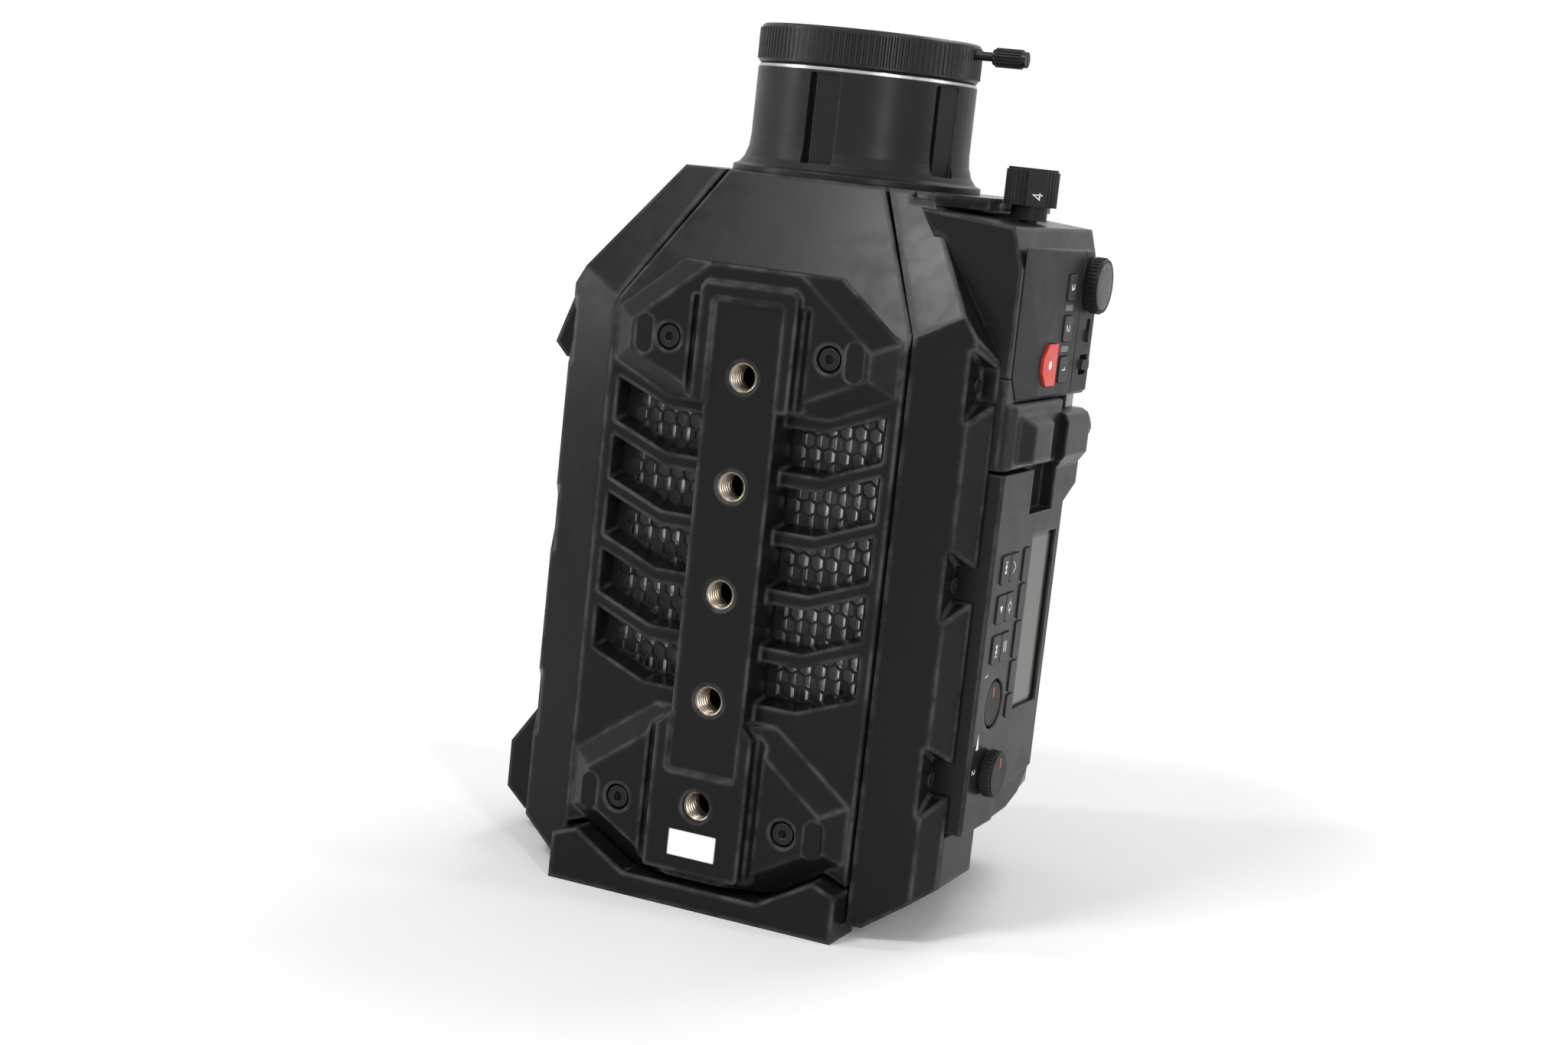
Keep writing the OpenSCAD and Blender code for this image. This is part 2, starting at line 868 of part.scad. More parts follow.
// The space that the tray's nose takes
module tray_clear() {
  top_z = front_z + over;
  intersection() {
    slab_y(rail_drop, 0) polygon(both([
      [tray_half + seam, tray_bend_z], [tray_half + seam, nose_z], [nose_top_half + seam, top_z]
    ]));
    slab_x(-wide, wide) polygon([
      [-rail_drop, tray_bend_z], [-tray_in + fit, tray_bend_z],
      [nose_y(top_z, 0) + plate_drop - tray_in + fit, top_z], [-rail_drop, top_z]
    ]);
  }
}

module top_cover() {
  color("#262626") difference() {
    intersection() {
      form(0, rear_z, front_z);
      block([-top_cover_half, top_in, top_cover_low_z], [top_cover_half, top_rise + over, front_in_z]);
    }
    for (k = [0 : top_holes - 1]) translate([0, top_in - over, top_hole_z + k * top_hole_pitch])
      rotate([-90, 0, 0]) cylinder(r = k % 2 == 0 ? thread_r : small_thread_r, h = top_rise);
    for (s = [-1, 1], k = [0 : top_holes - 1])
      translate([s * top_side_holes, top_in - over, top_hole_z + k * top_hole_pitch])
        rotate([-90, 0, 0]) cylinder(r = small_thread_r, h = top_rise);
  }
}

module rear_frame() {
  color("#262626") difference() {
    union() {
      intersection() {
        form(wall, 0, frame_top_z);
        block([-wide, -tray_in, 0], [wide, top_rise, frame_top_z]);
      }
      intersection() {
        form(0, 0, frame_top_z - fit);
        block([-wide, -bevel_drop + fit, 0], [wide, top_rise, frame_top_z]);
      }
      slab_y(lip_drop, tray_in - over) lip_outline();
    }
    block([-opening_half, -opening_low, -over], [opening_half, opening_high, battery_z + battery_t]);
    block([-opening_half + window_margin, -opening_low + window_margin, 0],
      [opening_half - window_margin, opening_high - window_margin, frame_top_z + over]);
    rear_notch();
  }
}

// The upper part of the rear end is cut back on the operator's side
module rear_notch() {
  run = top_rise + notch_drop + over;
  translate([0, 0, -over]) linear_extrude(frame_top_z + 2 * over) polygon([
    [side_half + over, -notch_drop - over / notch_slope], [side_half, -notch_drop],
    [side_half - run * notch_slope, top_rise + over], [side_half + over, top_rise + over]
  ]);
}

module lip_outline() {
  polygon(both([
    [tray_half, 0], [tray_half, lip_end_z], [lip_peak_half, lip_peak_z], [lip_mid_half, lip_mid_z]
  ]));
}

module battery_plate() {
  color("#2a2a2a") difference() {
    block([-opening_half + fit, -opening_low + fit, battery_z],
      [opening_half - fit, opening_high - fit, battery_z + battery_t]);
    translate([0, opening_high - fit, battery_z - over]) linear_extrude(wedge_depth + over) polygon(both([
      [wedge_top_half, over], [wedge_top_half, 0], [wedge_low_half, -wedge_len], [0, -wedge_len]
    ]));
    latch_pocket();
    for (k = [0 : contacts - 1]) contact_at(k)
      cylinder(r = contact_r + play, h = battery_t);
  }
}

module contact_at(k) {
  translate([(k - (contacts - 1) / 2) * contact_pitch, opening_high / 2, battery_z + wedge_depth - over])
    children();
}

module battery_contacts() {
  color("gold") for (k = [0 : contacts - 1]) contact_at(k)
    cylinder(r = contact_r, h = battery_t - wedge_depth);
}

module latch_pocket() {
  block([wedge_top_half + wall, -latch_h / 2 - key_gap, battery_z - over],
    [wedge_top_half + wall + latch_w / 2 + latch_travel + key_gap, latch_h / 2 + key_gap,
      battery_z + wedge_depth]);
}

module battery_latch() {
  color("#404040")
    block([wedge_top_half + wall + key_gap, -latch_h / 2, battery_z + fit],
      [wedge_top_half + wall + latch_w / 2, latch_h / 2, battery_z + wedge_depth - fit]);
}

module mount_barrel() {
  color("#262626") difference() {
    rotate_extrude($fn = 120) polygon([
      [barrel_bore, front_z], [foot_r, front_z], [foot_r, front_z + foot_h],
      for (t = [0 : 0.25 : 1])
        [foot_r - (foot_r - barrel_r) * sin(90 * t), front_z + foot_h + (flare_z - front_z - foot_h) * (1 - cos(90 * t))],
      [barrel_r, seat_z], [barrel_bore, seat_z]
    ]);
    for (a = panel_angles) rotate([0, 0, a - 90]) barrel_panel();
  }
}

// A shallow upright panel with a deep slot along one side, cut into the barrel
module barrel_panel() {
  span = 2 * barrel_r * sin(panel_span / 2);
  tall = seat_z - panel_low_z - edge;
  translate([barrel_r - panel_sink, 0, panel_low_z + tall / 2]) rotate([90, 0, 90])
    linear_extrude(foot_r) rounded(span, tall, slot_w / 2);
  translate([barrel_r - slot_sink, -span / 2, panel_low_z + tall / 2]) rotate([90, 0, 90])
    linear_extrude(foot_r) rounded(slot_w, tall, slot_w / 2 - play);
}

module mount_seat() {
  color("silver") rotate_extrude($fn = 120) polygon([
    [throat_r, seat_z], [barrel_r - fit, seat_z], [barrel_r - fit, seat_z + seat_h],
    [seat_neck_r, seat_z + seat_h], [seat_neck_r, ring_z + ring_h / 2],
    [throat_r, ring_z + ring_h / 2]
  ]);
}

module lock_ring() {
  bore = seat_neck_r + play;
  color("#1e1e1e") difference() {
    union() {
      translate([0, 0, ring_z]) rotate_extrude($fn = 120) polygon([
        [throat_r + wall, ring_h / 2 + fit], [throat_r + wall, ring_h - edge],
        [throat_r + wall + edge, ring_h], [ring_r - ridge_depth - edge, ring_h],
        [ring_r - ridge_depth, ring_h - edge], [ring_r - ridge_depth, edge],
        [ring_r - ridge_depth - edge, 0], [bore, 0], [bore, ring_h / 2 + fit]
      ]);
      difference() {
        translate([0, 0, ring_z + ring_rim]) linear_extrude(ring_h - 2 * ring_rim)
          polygon(ridged(ring_r, ridge_depth, ridges));
        translate([0, 0, ring_z]) cylinder(r = ring_r - wall, h = ring_h);
      }
    }
    translate([0, 0, lever_z]) rotate([0, 90, 0]) cylinder(r = neck_r + play, h = ring_r + wall);
  }
}

module lock_lever() {
  root = throat_r + 2 * wall;
  color("#303030") translate([0, 0, lever_z]) rotate([0, 90, 0]) {
    translate([0, 0, root]) cylinder(r = neck_r, h = ring_r + neck_len - root + over);
    translate([0, 0, ring_r + neck_len]) difference() {
      union() {
        cylinder(r = grip_r - ridge_depth, h = grip_len);
        translate([0, 0, edge]) linear_extrude(grip_len - 3 * edge)
          polygon(ridged(grip_r, ridge_depth, grip_slots));
      }
      translate([-grip_r, -edge / 2, grip_len - 2 * edge]) cube([2 * grip_r, edge, 2 * edge + over]);
    }
  }
}

module relay_glass() {
  r = barrel_bore - fit;
  color("lightblue") rotate_extrude() polygon([
    [0, glass_z], [r, glass_z], [r, glass_z + glass_t - edge], [r - edge, glass_z + glass_t],
    [0, glass_z + glass_t]
  ]);
}

module sensor_block() {
  color("#354a3a") difference() {
    translate([0, 0, bulkhead_z - sensor_t / 2 - fit]) cube([2 * sensor_half_w + 4 * wall,
      2 * sensor_half_h + 4 * wall, sensor_t], center = true);
    translate([-sensor_half_w, -sensor_half_h, bulkhead_z - 2 * over])
      cube([2 * sensor_half_w, 2 * sensor_half_h, 2 * over]);
  }
}

module filter_wheel() {
  color("#404040") translate([wheel_x, wheel_y, 0]) difference() {
    union() {
      translate([0, 0, wheel_z]) linear_extrude(wheel_t) polygon(ridged(wheel_r, edge, 2 * dial_ridges));
      translate([0, 0, bulkhead_z + fit]) cylinder(r = axle_r - play, h = wheel_z - bulkhead_z);
    }
    for (k = [0 : filters - 1]) filter_at(k) cylinder(r = filter_r, h = wheel_t + 2 * over);
  }
}

// The places of the filters around the wheel, the first one on the lens axis
module filter_at(k) {
  rotate([0, 0, atan2(-wheel_y, -wheel_x) + k * 360 / filters])
    translate([orbit, 0, wheel_z - over]) children();
}

module filter_glasses() {
  color("slategray") translate([wheel_x, wheel_y, 0]) for (k = [0 : filters - 1])
    filter_at(k) translate([0, 0, over + edge / 2]) cylinder(r = filter_r - play, h = wheel_t - edge);
}

module filter_knob() {
  r = filter_knob_d / 2;
  color("#1c1c1c") translate([knob_x, knob_y, 0]) {
    difference() {
      union() {
        translate([0, 0, knob_z]) linear_extrude(knob_h - edge)
          polygon(ridged(r, ridge_depth, dial_ridges));
        translate([0, 0, knob_z]) cylinder(r = r - ridge_depth, h = knob_h);
      }
      rotate([0, 0, 35]) translate([-2 * r, -r * 2, knob_z - over])
        cube([4 * r, 2 * r - r * knob_flat_share, knob_h + 2 * over]);
    }
    translate([0, 0, housing_top_z - over]) cylinder(r = knob_neck_r, h = knob_z - housing_top_z + over);
    translate([0, 0, knob_z - knob_shaft_len]) cylinder(r = knob_shaft_r, h = knob_shaft_len);
  }
}

module heat_sink() {
  half = window_half - over;
  tall = sink_top_z - sink_low_z;
  step = (2 * half - fin_t) / (fins - 1);
  color("silver") {
    difference() {
      block([-chassis_half + chassis_t + fit, -fin_drop + fin_h, sink_low_z],
        [chassis_half - chassis_t - fit, -fin_drop + fin_h + sink_t, sink_top_z]);
      translate([0, -fin_drop + fin_h + over, fan_z]) rotate([-90, 0, 0])
        cylinder(r = fan_r + fan_play, h = sink_t);
    }
    for (k = [0 : fins - 1]) block([-half + k * step, -fin_drop, sink_low_z],
      [-half + k * step + fin_t, -fin_drop + fin_h + over, sink_low_z + tall]);
  }
}

module fan_frame() {
  color("#202020") translate([0, -fan_drop, fan_z]) rotate([-90, 0, 0]) difference() {
    translate([-fan_side / 2, -fan_side / 2, 0]) cube([fan_side, fan_side, fan_h + 2 * wall]);
    translate([0, 0, -over]) cylinder(r = fan_r + fan_play, h = fan_h + wall + over);
    difference() {
      cylinder(r = fan_r + fan_play, h = fan_h + 2 * wall + over);
      cylinder(r = hub_r, h = fan_h + 2 * wall + over);
      for (a = [0 : 90 : 270]) rotate([0, 0, a]) translate([0, -wall / 2, 0])
        cube([fan_side, wall, fan_h + 2 * wall + over]);
    }
    translate([0, 0, fan_h]) cylinder(r = axle_r / 2 + play, h = 3 * wall);
  }
}

module fan_rotor() {
  color("#303030") translate([0, -fan_drop, fan_z]) rotate([-90, 0, 0]) {
    translate([0, 0, fit]) cylinder(r = hub_r, h = fan_h);
    translate([0, 0, fit]) cylinder(r = axle_r / 2, h = fan_h + 2 * wall);
    for (k = [0 : blades - 1]) rotate([0, 0, k * 360 / blades]) translate([0, 0, fan_h / 2 + fit])
      rotate([35, 0, 0]) translate([hub_r - over, -blade_t / 2, -fan_h * 0.45])
        cube([fan_r - hub_r, blade_t, fan_h * 0.9]);
  }
}

module main_board() {
  half = chassis_half - chassis_t - fit;
  color("darkgreen") {
    block([-half, board_y, window_low_z], [half, board_y + board_t, window_top_z]);
    for (x = [-1, 0, 1]) block([x * half / 2 - wall * 3, board_y - wall, fan_z - 3 * wall],
      [x * half / 2 + wall * 3, board_y + over / 2, fan_z + 3 * wall]);
  }
}

module grip_bracket() {
  color("#2c2c2c") difference() {
    slab_y(bracket_drop, -bracket_rise) polygon([
      [-side_half, bracket_low_z], [-bracket_foot, bracket_low_z], [-bracket_out, bracket_peak_z],
      [-bracket_top_out, bracket_top_z], [-side_half, bracket_top_z]
    ]);
    bracket_keep();
    translate([-bracket_out, -(bracket_drop - bracket_rise) / 2, (bracket_top_z + bracket_low_z) / 2])
      rotate([0, 90, 0]) cylinder(r = small_thread_r, h = proud + 2 * wall);
  }
}

// The sloped corner of the shell under the bracket
module bracket_keep() {
  mirror([1, 0, 0]) slab_y(rail_drop, -top_rise) polygon([
    [0, corner_z], [corner_x(corner_z, 0) + over, corner_z - over / corner_slope + over * corner_slope],
    [side_half + play, corner_z - (side_half - crease_half) / corner_slope],
    [side_half + play, bracket_low_z - over], [0, bracket_low_z - over]
  ]);
}

module io_housing() {
  color("#262626") difference() {
    slab_y(io_drop, -io_rise) polygon([
      [-side_half, io_face_low_z], [-side_half - edge, io_low_z + edge], [-io_foot, io_low_z],
      [-io_out, io_face_low_z], [-io_out, io_face_top_z], [-io_shoulder, io_shoulder_z],
      [-side_half, io_top_z]
    ]);
    for (k = [0 : socket_count - 1]) io_at(k, socket_recess)
      cylinder(r = socket_recess_r, h = socket_recess + over);
    for (k = [0 : socket_count - 1]) io_at(k, io_out - side_half + over)
      cylinder(r = socket_r, h = io_out - side_half - socket_recess + 2 * over);
  }
}

module io_at(k, deep) {
  y = (io_rise - io_drop) / 2 + (k - (socket_count - 1) / 2) * socket_pitch;
  gripward(y, (io_face_low_z + io_face_top_z) / 2, io_out - deep) children();
}

module io_sockets() {
  color("silver") for (k = [0 : socket_count - 1]) io_at(k, socket_recess + socket_len) difference() {
    cylinder(r = socket_r - play, h = socket_len + socket_recess);
    translate([0, 0, wall]) cylinder(r = socket_r - edge, h = socket_len + socket_recess);
    translate([0, 0, -over]) cylinder(r = socket_pin_r, h = wall + 2 * over);
  }
}

module control_housing() {
  color("#262626") difference() {
    slab_y(panel_drop, -panel_rise) polygon([
      [chassis_half, housing_low_z], [housing_face, housing_low_z],
      [housing_face, housing_taper_z], [housing_tip_x, housing_tip_z],
      [front_half, housing_top_z], [chassis_half, corner_z]
    ]);
    form(0, rear_z, front_z);
    block([chassis_half, -panel_drop - over, 0], [face_x, -step_drop + fit, step_top_z + fit]);
    translate([knob_x, knob_y, knob_z - knob_shaft_len - fit])
      cylinder(r = knob_shaft_r + play, h = knob_shaft_len + over);
    translate([knob_x, knob_y, housing_top_z - over - fit]) cylinder(r = knob_neck_r + fit, h = proud);
    control_pits();
  }
}

module control_pits() {
  for (z = key_zs) outward(key_y, z, face_x - key_t - fit)
    linear_extrude(key_t + proud) rounded(key_w + 2 * key_gap, key_h + 2 * key_gap, edge);
  for (z = lamp_zs) outward(key_y, z, face_x - key_t)
    linear_extrude(key_t + proud) rounded(lamp_w + 2 * play, lamp_h + 2 * play, edge / 2);
  outward(rec_y, rec_z, face_x - key_t - fit) linear_extrude(key_t + proud) rec_outline(key_gap);
  outward(knob_side_y, knob_side_z, face_x - shaft_len) cylinder(r = shaft_r + play, h = shaft_len + over);
  outward(slide_y, slide_z, face_x - key_t)
    linear_extrude(key_t + over) rounded(slide_slot_w, slide_slot_h, edge);
  outward(toggle_y, toggle_z, face_x - key_t)
    linear_extrude(key_t + over) rounded(toggle_w, toggle_h, edge);
}

// The record button's outline, with two cut corners on its lower side
module rec_outline(g) {
  w = rec_w / 2 + g;
  h = rec_h / 2 + g;
  cut = rec_w / 3;
  polygon([[-w, -h + cut], [-w + cut, -h], [w, -h], [w, h], [-w + cut, h], [-w, h - cut]]);
}

module control_panel() {
  color("#303030") difference() {
    hull() {
      slab_x(housing_face, housing_face + fit) polygon([
        [-block_low_drop, step_top_z + fit], [-step_drop + over, block_low_z],
        [block_rise, block_low_z], [block_rise, knob_side_z],
        [knob_side_y, block_top_z], [-block_low_drop, block_top_z]
      ]);
      slab_x(face_x - fit, face_x) polygon([
        [-face_drop, block_low_z + edge], [block_rise - edge, block_low_z + edge],
        [block_rise - edge, knob_side_z], [knob_side_y - edge, block_top_z - edge],
        [-edge * 10, block_top_z - edge], [-face_drop - edge, rec_z + edge]
      ]);
    }
    outward(strip_y, (block_low_z + block_top_z) / 2, face_x - strip_groove)
      translate([-strip_groove / 2, -block_top_z / 2, 0]) cube([strip_groove, block_top_z, proud]);
    block([side_half, -panel_drop - over, housing_taper_z],
      [housing_face - over, panel_rise, front_z]);
    control_pits();
  }
}

module rec_button() {
  color("red") outward(rec_y, rec_z, face_x - key_t + rec_out) linear_extrude(key_t) rec_outline(0);
}

module function_key(k) {
  color("gray") outward(key_y, key_zs[k], face_x - key_t + key_out)
    linear_extrude(key_t) rounded(key_w, key_h, edge);
}
module function_key_1() { function_key(0); }
module function_key_2() { function_key(1); }
module function_key_3() { function_key(2); }

module key_lamps() {
  color("#505050") for (z = lamp_zs) outward(key_y, z, face_x - key_t)
    linear_extrude(key_t + play) rounded(lamp_w, lamp_h, edge / 2);
}

module turning_knob(d, h, count) {
  cylinder(d = d - 2 * ridge_depth, h = h);
  translate([0, 0, edge]) linear_extrude(h - 2 * edge) polygon(ridged(d / 2, ridge_depth, count));
}

module level_knob() {
  color("#1c1c1c") outward(knob_side_y, knob_side_z, face_x + fit) {
    turning_knob(level_knob_d, level_knob_h, level_ridges);
    translate([0, 0, -shaft_len]) cylinder(r = shaft_r, h = shaft_len + over);
  }
}

module slide_switch() {
  tall = slide_slot_h - slide_travel - 2 * key_gap;
  color("#303030") outward(slide_y, slide_z - slide_travel / 2, face_x - key_t + fit)
    linear_extrude(key_t + edge) rounded(slide_slot_w - 2 * key_gap, tall, edge);
}

module toggle_switch() {
  color("#202020") outward(toggle_y, toggle_z, face_x - key_t + fit)
    linear_extrude(key_t + edge) rounded(toggle_w - 2 * key_gap, toggle_h / 2 - key_gap, edge);
}

module hinge_block() {
  low_z = door_top_z + recess_gap;
  color("#2a2a2a") difference() {
    union() {
      intersection() {
        union() {
          slab_y(panel_drop - fit, -arm_low + fit) polygon([
            [recess_floor, low_z], [face_x - edge, low_z], [face_x, low_z + edge],
            [face_x, recess_top_z - edge], [face_x - edge, recess_top_z],
            [recess_floor, recess_top_z]
          ]);
          block([side_half, -panel_drop + fit, recess_top_z - over],
            [housing_face, -step_drop, step_top_z]);
        }
        linear_extrude(front_z) polygon([
          [recess_floor, -panel_drop], [face_x - corner_run / 2, -panel_drop],
          [face_x - corner_run / 6, -panel_drop + corner_run / 3],
          [face_x, -panel_drop + corner_run], [face_x, 0], [face_x, panel_rise],
          [recess_floor, panel_rise]
        ]);
      }
      slab_y(-arm_high - fit, -knuckle_high) {
        translate([hinge_x, hinge_z]) circle(r = knuckle_r);
        polygon([
          [recess_floor, hinge_z - knuckle_r], [hinge_x, hinge_z - knuckle_r],
          [hinge_x, hinge_z + knuckle_r], [recess_floor, hinge_z + knuckle_r]
        ]);
      }
      block([recess_floor, -panel_drop + fit, low_z],
        [recess_floor + over, knuckle_high, recess_top_z]);
      thumb_bump();
    }
    hinge_bore(pin_r);
  }
}

module thumb_bump() {
  hull() {
    slab_x(face_x - over, face_x) polygon([
      [bump_from, bump_low_z], [bump_to, bump_low_z], [bump_to, bump_top_z], [bump_from, bump_top_z]
    ]);
    slab_x(face_x, face_x + bump_out) polygon([
      [bump_from + 2 * wall, bump_low_z + edge], [bump_to - edge, bump_low_z + edge],
      [bump_to - edge, bump_top_z - wall], [bump_from + 2 * wall, bump_top_z - wall]
    ]);
  }
}

module hinge_bore(r) {
  translate([hinge_x, arm_low - pin_reach, hinge_z]) rotate([-90, 0, 0])
    cylinder(r = r, h = knuckle_high + pin_reach - arm_low + over);
}

module hinge_pin() {
  color("silver") translate([hinge_x, arm_low - pin_reach + fit, hinge_z]) rotate([-90, 0, 0])
    cylinder(r = pin_r, h = knuckle_high + pin_reach - arm_low - fit);
}

// The door's arm, which turns on the pin
module hinge_arm() {
  slab_y(-arm_low, -arm_high) polygon([
    [arm_in, door_top_z - over], [face_x, door_top_z - over], [arm_out, door_top_z + arm_round],
    [arm_out, arm_top_z - arm_round], [arm_out - arm_round / 3, arm_top_z - arm_round / 3],
    [arm_out - arm_round, arm_top_z], [arm_in + arm_round, arm_top_z],
    [arm_in, arm_top_z - arm_round]
  ]);
}

// The door's outline across its length
module door_section() {
  polygon([
    [door_in, -door_low], [face_x - edge, -door_low], [face_x, -door_low + edge],
    [face_x, door_far], [door_far_x, door_high], [door_in, door_high]
  ]);
}

module door_shell() {
  color("#2a2a2a") difference() {
    union() {
      intersection() {
        translate([0, 0, door_z]) linear_extrude(door_top_z - door_z) door_section();
        slab_x(door_in - over, face_x + over) polygon([
          [-door_low, door_z], [step_y - edge, door_z], [step_y, step_z], [door_high, step_end_z],
          [door_high, door_top_z], [-door_low, door_top_z]
        ]);
      }
      slab_x(door_in, face_x) polygon([
        [door_far - over, shoulder_z], [door_high - recess_gap, shoulder_top_z],
        [door_high - recess_gap, door_top_z], [door_far - over, door_top_z]
      ]);
      hinge_arm();
    }
    hinge_bore(pin_r + play);
    block([face_x - finger_depth, finger_from, finger_low_z], [face_x + over, finger_to, door_top_z + over]);
    block([face_x - lcd_sink - lcd_t, lcd_from, lcd_low_z], [face_x + over, lcd_to, lcd_top_z]);
    block([door_in - over, -door_low + screen_gap, screen_low_z],
      [door_in + screen_t, door_high - screen_gap, door_top_z - 2 * screen_gap]);
    for (k = [0 : len(soft_edges) - 2]) key_pit(soft_y, soft_mid(k), soft_w, soft_tall(k));
    for (z = trans_zs, y = trans_ys) key_pit(y, z, trans_w, trans_h);
    outward(dial_y, dial_in_z, face_x - dial_in_h - fit) cylinder(d = dial_d + 4 * fit, h = dial_in_h + proud);
    for (z = [dial_in_z, dial_out_z]) outward(dial_y, z, face_x - shaft_len - dial_in_h)
      cylinder(r = dial_shaft_r + play, h = shaft_len + proud);
  }
}

// Middle and height of a key in the column beside the display
function soft_mid(k) = (soft_edges[k] + soft_edges[k + 1]) / 2;
function soft_tall(k) = soft_edges[k + 1] - soft_edges[k] - soft_gap;

module key_pit(y, z, w, h) {
  outward(y, z, face_x - key_t) linear_extrude(key_t + over) rounded(w + 2 * key_gap, h + 2 * key_gap, edge);
}

module door_corner() {
  color("#2a2a2a") intersection() {
    translate([0, 0, door_z]) linear_extrude(step_end_z - door_z) polygon([
      [recess_floor, step_y], [face_x - edge, step_y], [face_x - edge, door_far],
      [door_far_x, door_high], [recess_floor, door_high]
    ]);
    slab_x(recess_floor, face_x) polygon([
      [step_y + fit, door_z], [-wall, door_z + edge], [door_far / 2, door_z + wall + over],
      [door_far, step_end_z - wall], [door_high, step_end_z - fit - over / 2],
      [step_y + fit, step_z - fit]
    ]);
  }
}

module status_display() {
  color("slategray") block([face_x - lcd_sink - lcd_t, lcd_from + play, lcd_low_z + play],
    [face_x - lcd_sink, lcd_to - play, lcd_top_z - play]);
}

module monitor_screen() {
  color("black") block([door_in + play, -door_low + screen_gap + play, screen_low_z + play],
    [door_in + screen_t, door_high - screen_gap - play, door_top_z - 2 * screen_gap - play]);
}

module door_key(y, z, w, h) {
  color("#383838") outward(y, z, face_x - key_t + fit + over)
    linear_extrude(key_t - fit - over + key_out) rounded(w, h, edge);
}
module soft_key(k) { door_key(soft_y, soft_mid(k), soft_w, soft_tall(k)); }
module soft_key_1() { soft_key(0); }
module soft_key_2() { soft_key(1); }
module soft_key_3() { soft_key(2); }
module soft_key_4() { soft_key(3); }
module soft_key_5() { soft_key(4); }
module transport_key_1() { door_key(trans_ys[0], trans_zs[0], trans_w, trans_h); }
module transport_key_2() { door_key(trans_ys[1], trans_zs[0], trans_w, trans_h); }
module transport_key_3() { door_key(trans_ys[0], trans_zs[1], trans_w, trans_h); }
module transport_key_4() { door_key(trans_ys[1], trans_zs[1], trans_w, trans_h); }
module transport_key_5() { door_key(trans_ys[0], trans_zs[2], trans_w, trans_h); }
module transport_key_6() { door_key(trans_ys[1], trans_zs[2], trans_w, trans_h); }

module audio_dial(z, x, h) {
  color("#1c1c1c") outward(dial_y, z, x) {
    turning_knob(dial_d, h, dial_ridges);
    translate([0, 0, -shaft_len + play]) cylinder(r = dial_shaft_r, h = shaft_len + edge);
  }
}
module audio_dial_1() { audio_dial(dial_in_z, face_x - dial_in_h, dial_in_h - fit); }
module audio_dial_2() { audio_dial(dial_out_z, face_x + fit, dial_out_h); }

chassis();
bottom_tray();
vent_mesh();
thread_inserts();
tray_screws();
tray_plugs();
shell_operator();
shell_grip();
shell_screws();
front_cover();
top_cover();
rear_frame();
battery_plate();
battery_contacts();
battery_latch();
mount_barrel();
mount_seat();
lock_ring();
lock_lever();
relay_glass();
sensor_block();
filter_wheel();
filter_glasses();
filter_knob();
heat_sink();
fan_frame();
fan_rotor();
main_board();
grip_bracket();
io_housing();
io_sockets();
control_housing();
control_panel();
rec_button();
function_key_1();
function_key_2();
function_key_3();
key_lamps();
level_knob();
slide_switch();
toggle_switch();
hinge_block();
hinge_pin();
door_shell();
door_corner();
status_display();
monitor_screen();
soft_key_1();
soft_key_2();
soft_key_3();
soft_key_4();
soft_key_5();
transport_key_1();
transport_key_2();
transport_key_3();
transport_key_4();
transport_key_5();
transport_key_6();
audio_dial_1();
audio_dial_2();
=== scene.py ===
# %% [markdown]
# A box-shaped broadcast camera body stands on its battery face, with the lens mount up.
# The construction arrives as a fixed frame of named nodes, one for each real piece.
# This script gives every node its finish, adds the fine pieces that belong to looks
# (threads, printed marks, a blank sticker, a turned cap) and sets the lights and the camera.
# Lengths are written in millimetres and turned into metres in one place, the mesh builder.

# %% Load the frame and keep its box
import json
import math
import bmesh
import bpy
import numpy as np
from mathutils import Matrix, Vector


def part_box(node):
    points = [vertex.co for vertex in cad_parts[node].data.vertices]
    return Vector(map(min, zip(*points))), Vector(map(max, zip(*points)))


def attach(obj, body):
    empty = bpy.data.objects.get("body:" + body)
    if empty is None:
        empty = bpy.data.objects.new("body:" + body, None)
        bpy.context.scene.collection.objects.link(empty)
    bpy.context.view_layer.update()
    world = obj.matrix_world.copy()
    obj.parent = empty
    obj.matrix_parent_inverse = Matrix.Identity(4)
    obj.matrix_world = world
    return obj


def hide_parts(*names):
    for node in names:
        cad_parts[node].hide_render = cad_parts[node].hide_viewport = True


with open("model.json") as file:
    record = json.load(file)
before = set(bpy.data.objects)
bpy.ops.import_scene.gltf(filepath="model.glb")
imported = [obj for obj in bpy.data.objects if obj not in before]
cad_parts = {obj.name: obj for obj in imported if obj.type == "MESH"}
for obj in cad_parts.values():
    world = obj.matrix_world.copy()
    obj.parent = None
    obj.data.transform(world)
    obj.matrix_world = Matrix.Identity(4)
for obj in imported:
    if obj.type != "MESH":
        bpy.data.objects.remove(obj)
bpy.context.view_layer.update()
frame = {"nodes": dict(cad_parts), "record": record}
NODES = frame["nodes"]
MM = 0.001

# %% [markdown]
# A new piece is a grid of points computed by a formula, or a flat outline given a thickness.
# `grid_piece` takes arrays of points with the shape (rows, columns, 3) and joins the
# neighbours with four-sided faces; a closed direction also joins the last row to the first.
# The index arithmetic is done on whole arrays, so a hundred thousand points cost no time.

# %% Mesh builders
MERGE_M, COLLAPSE_M = 1e-7, 1e-8


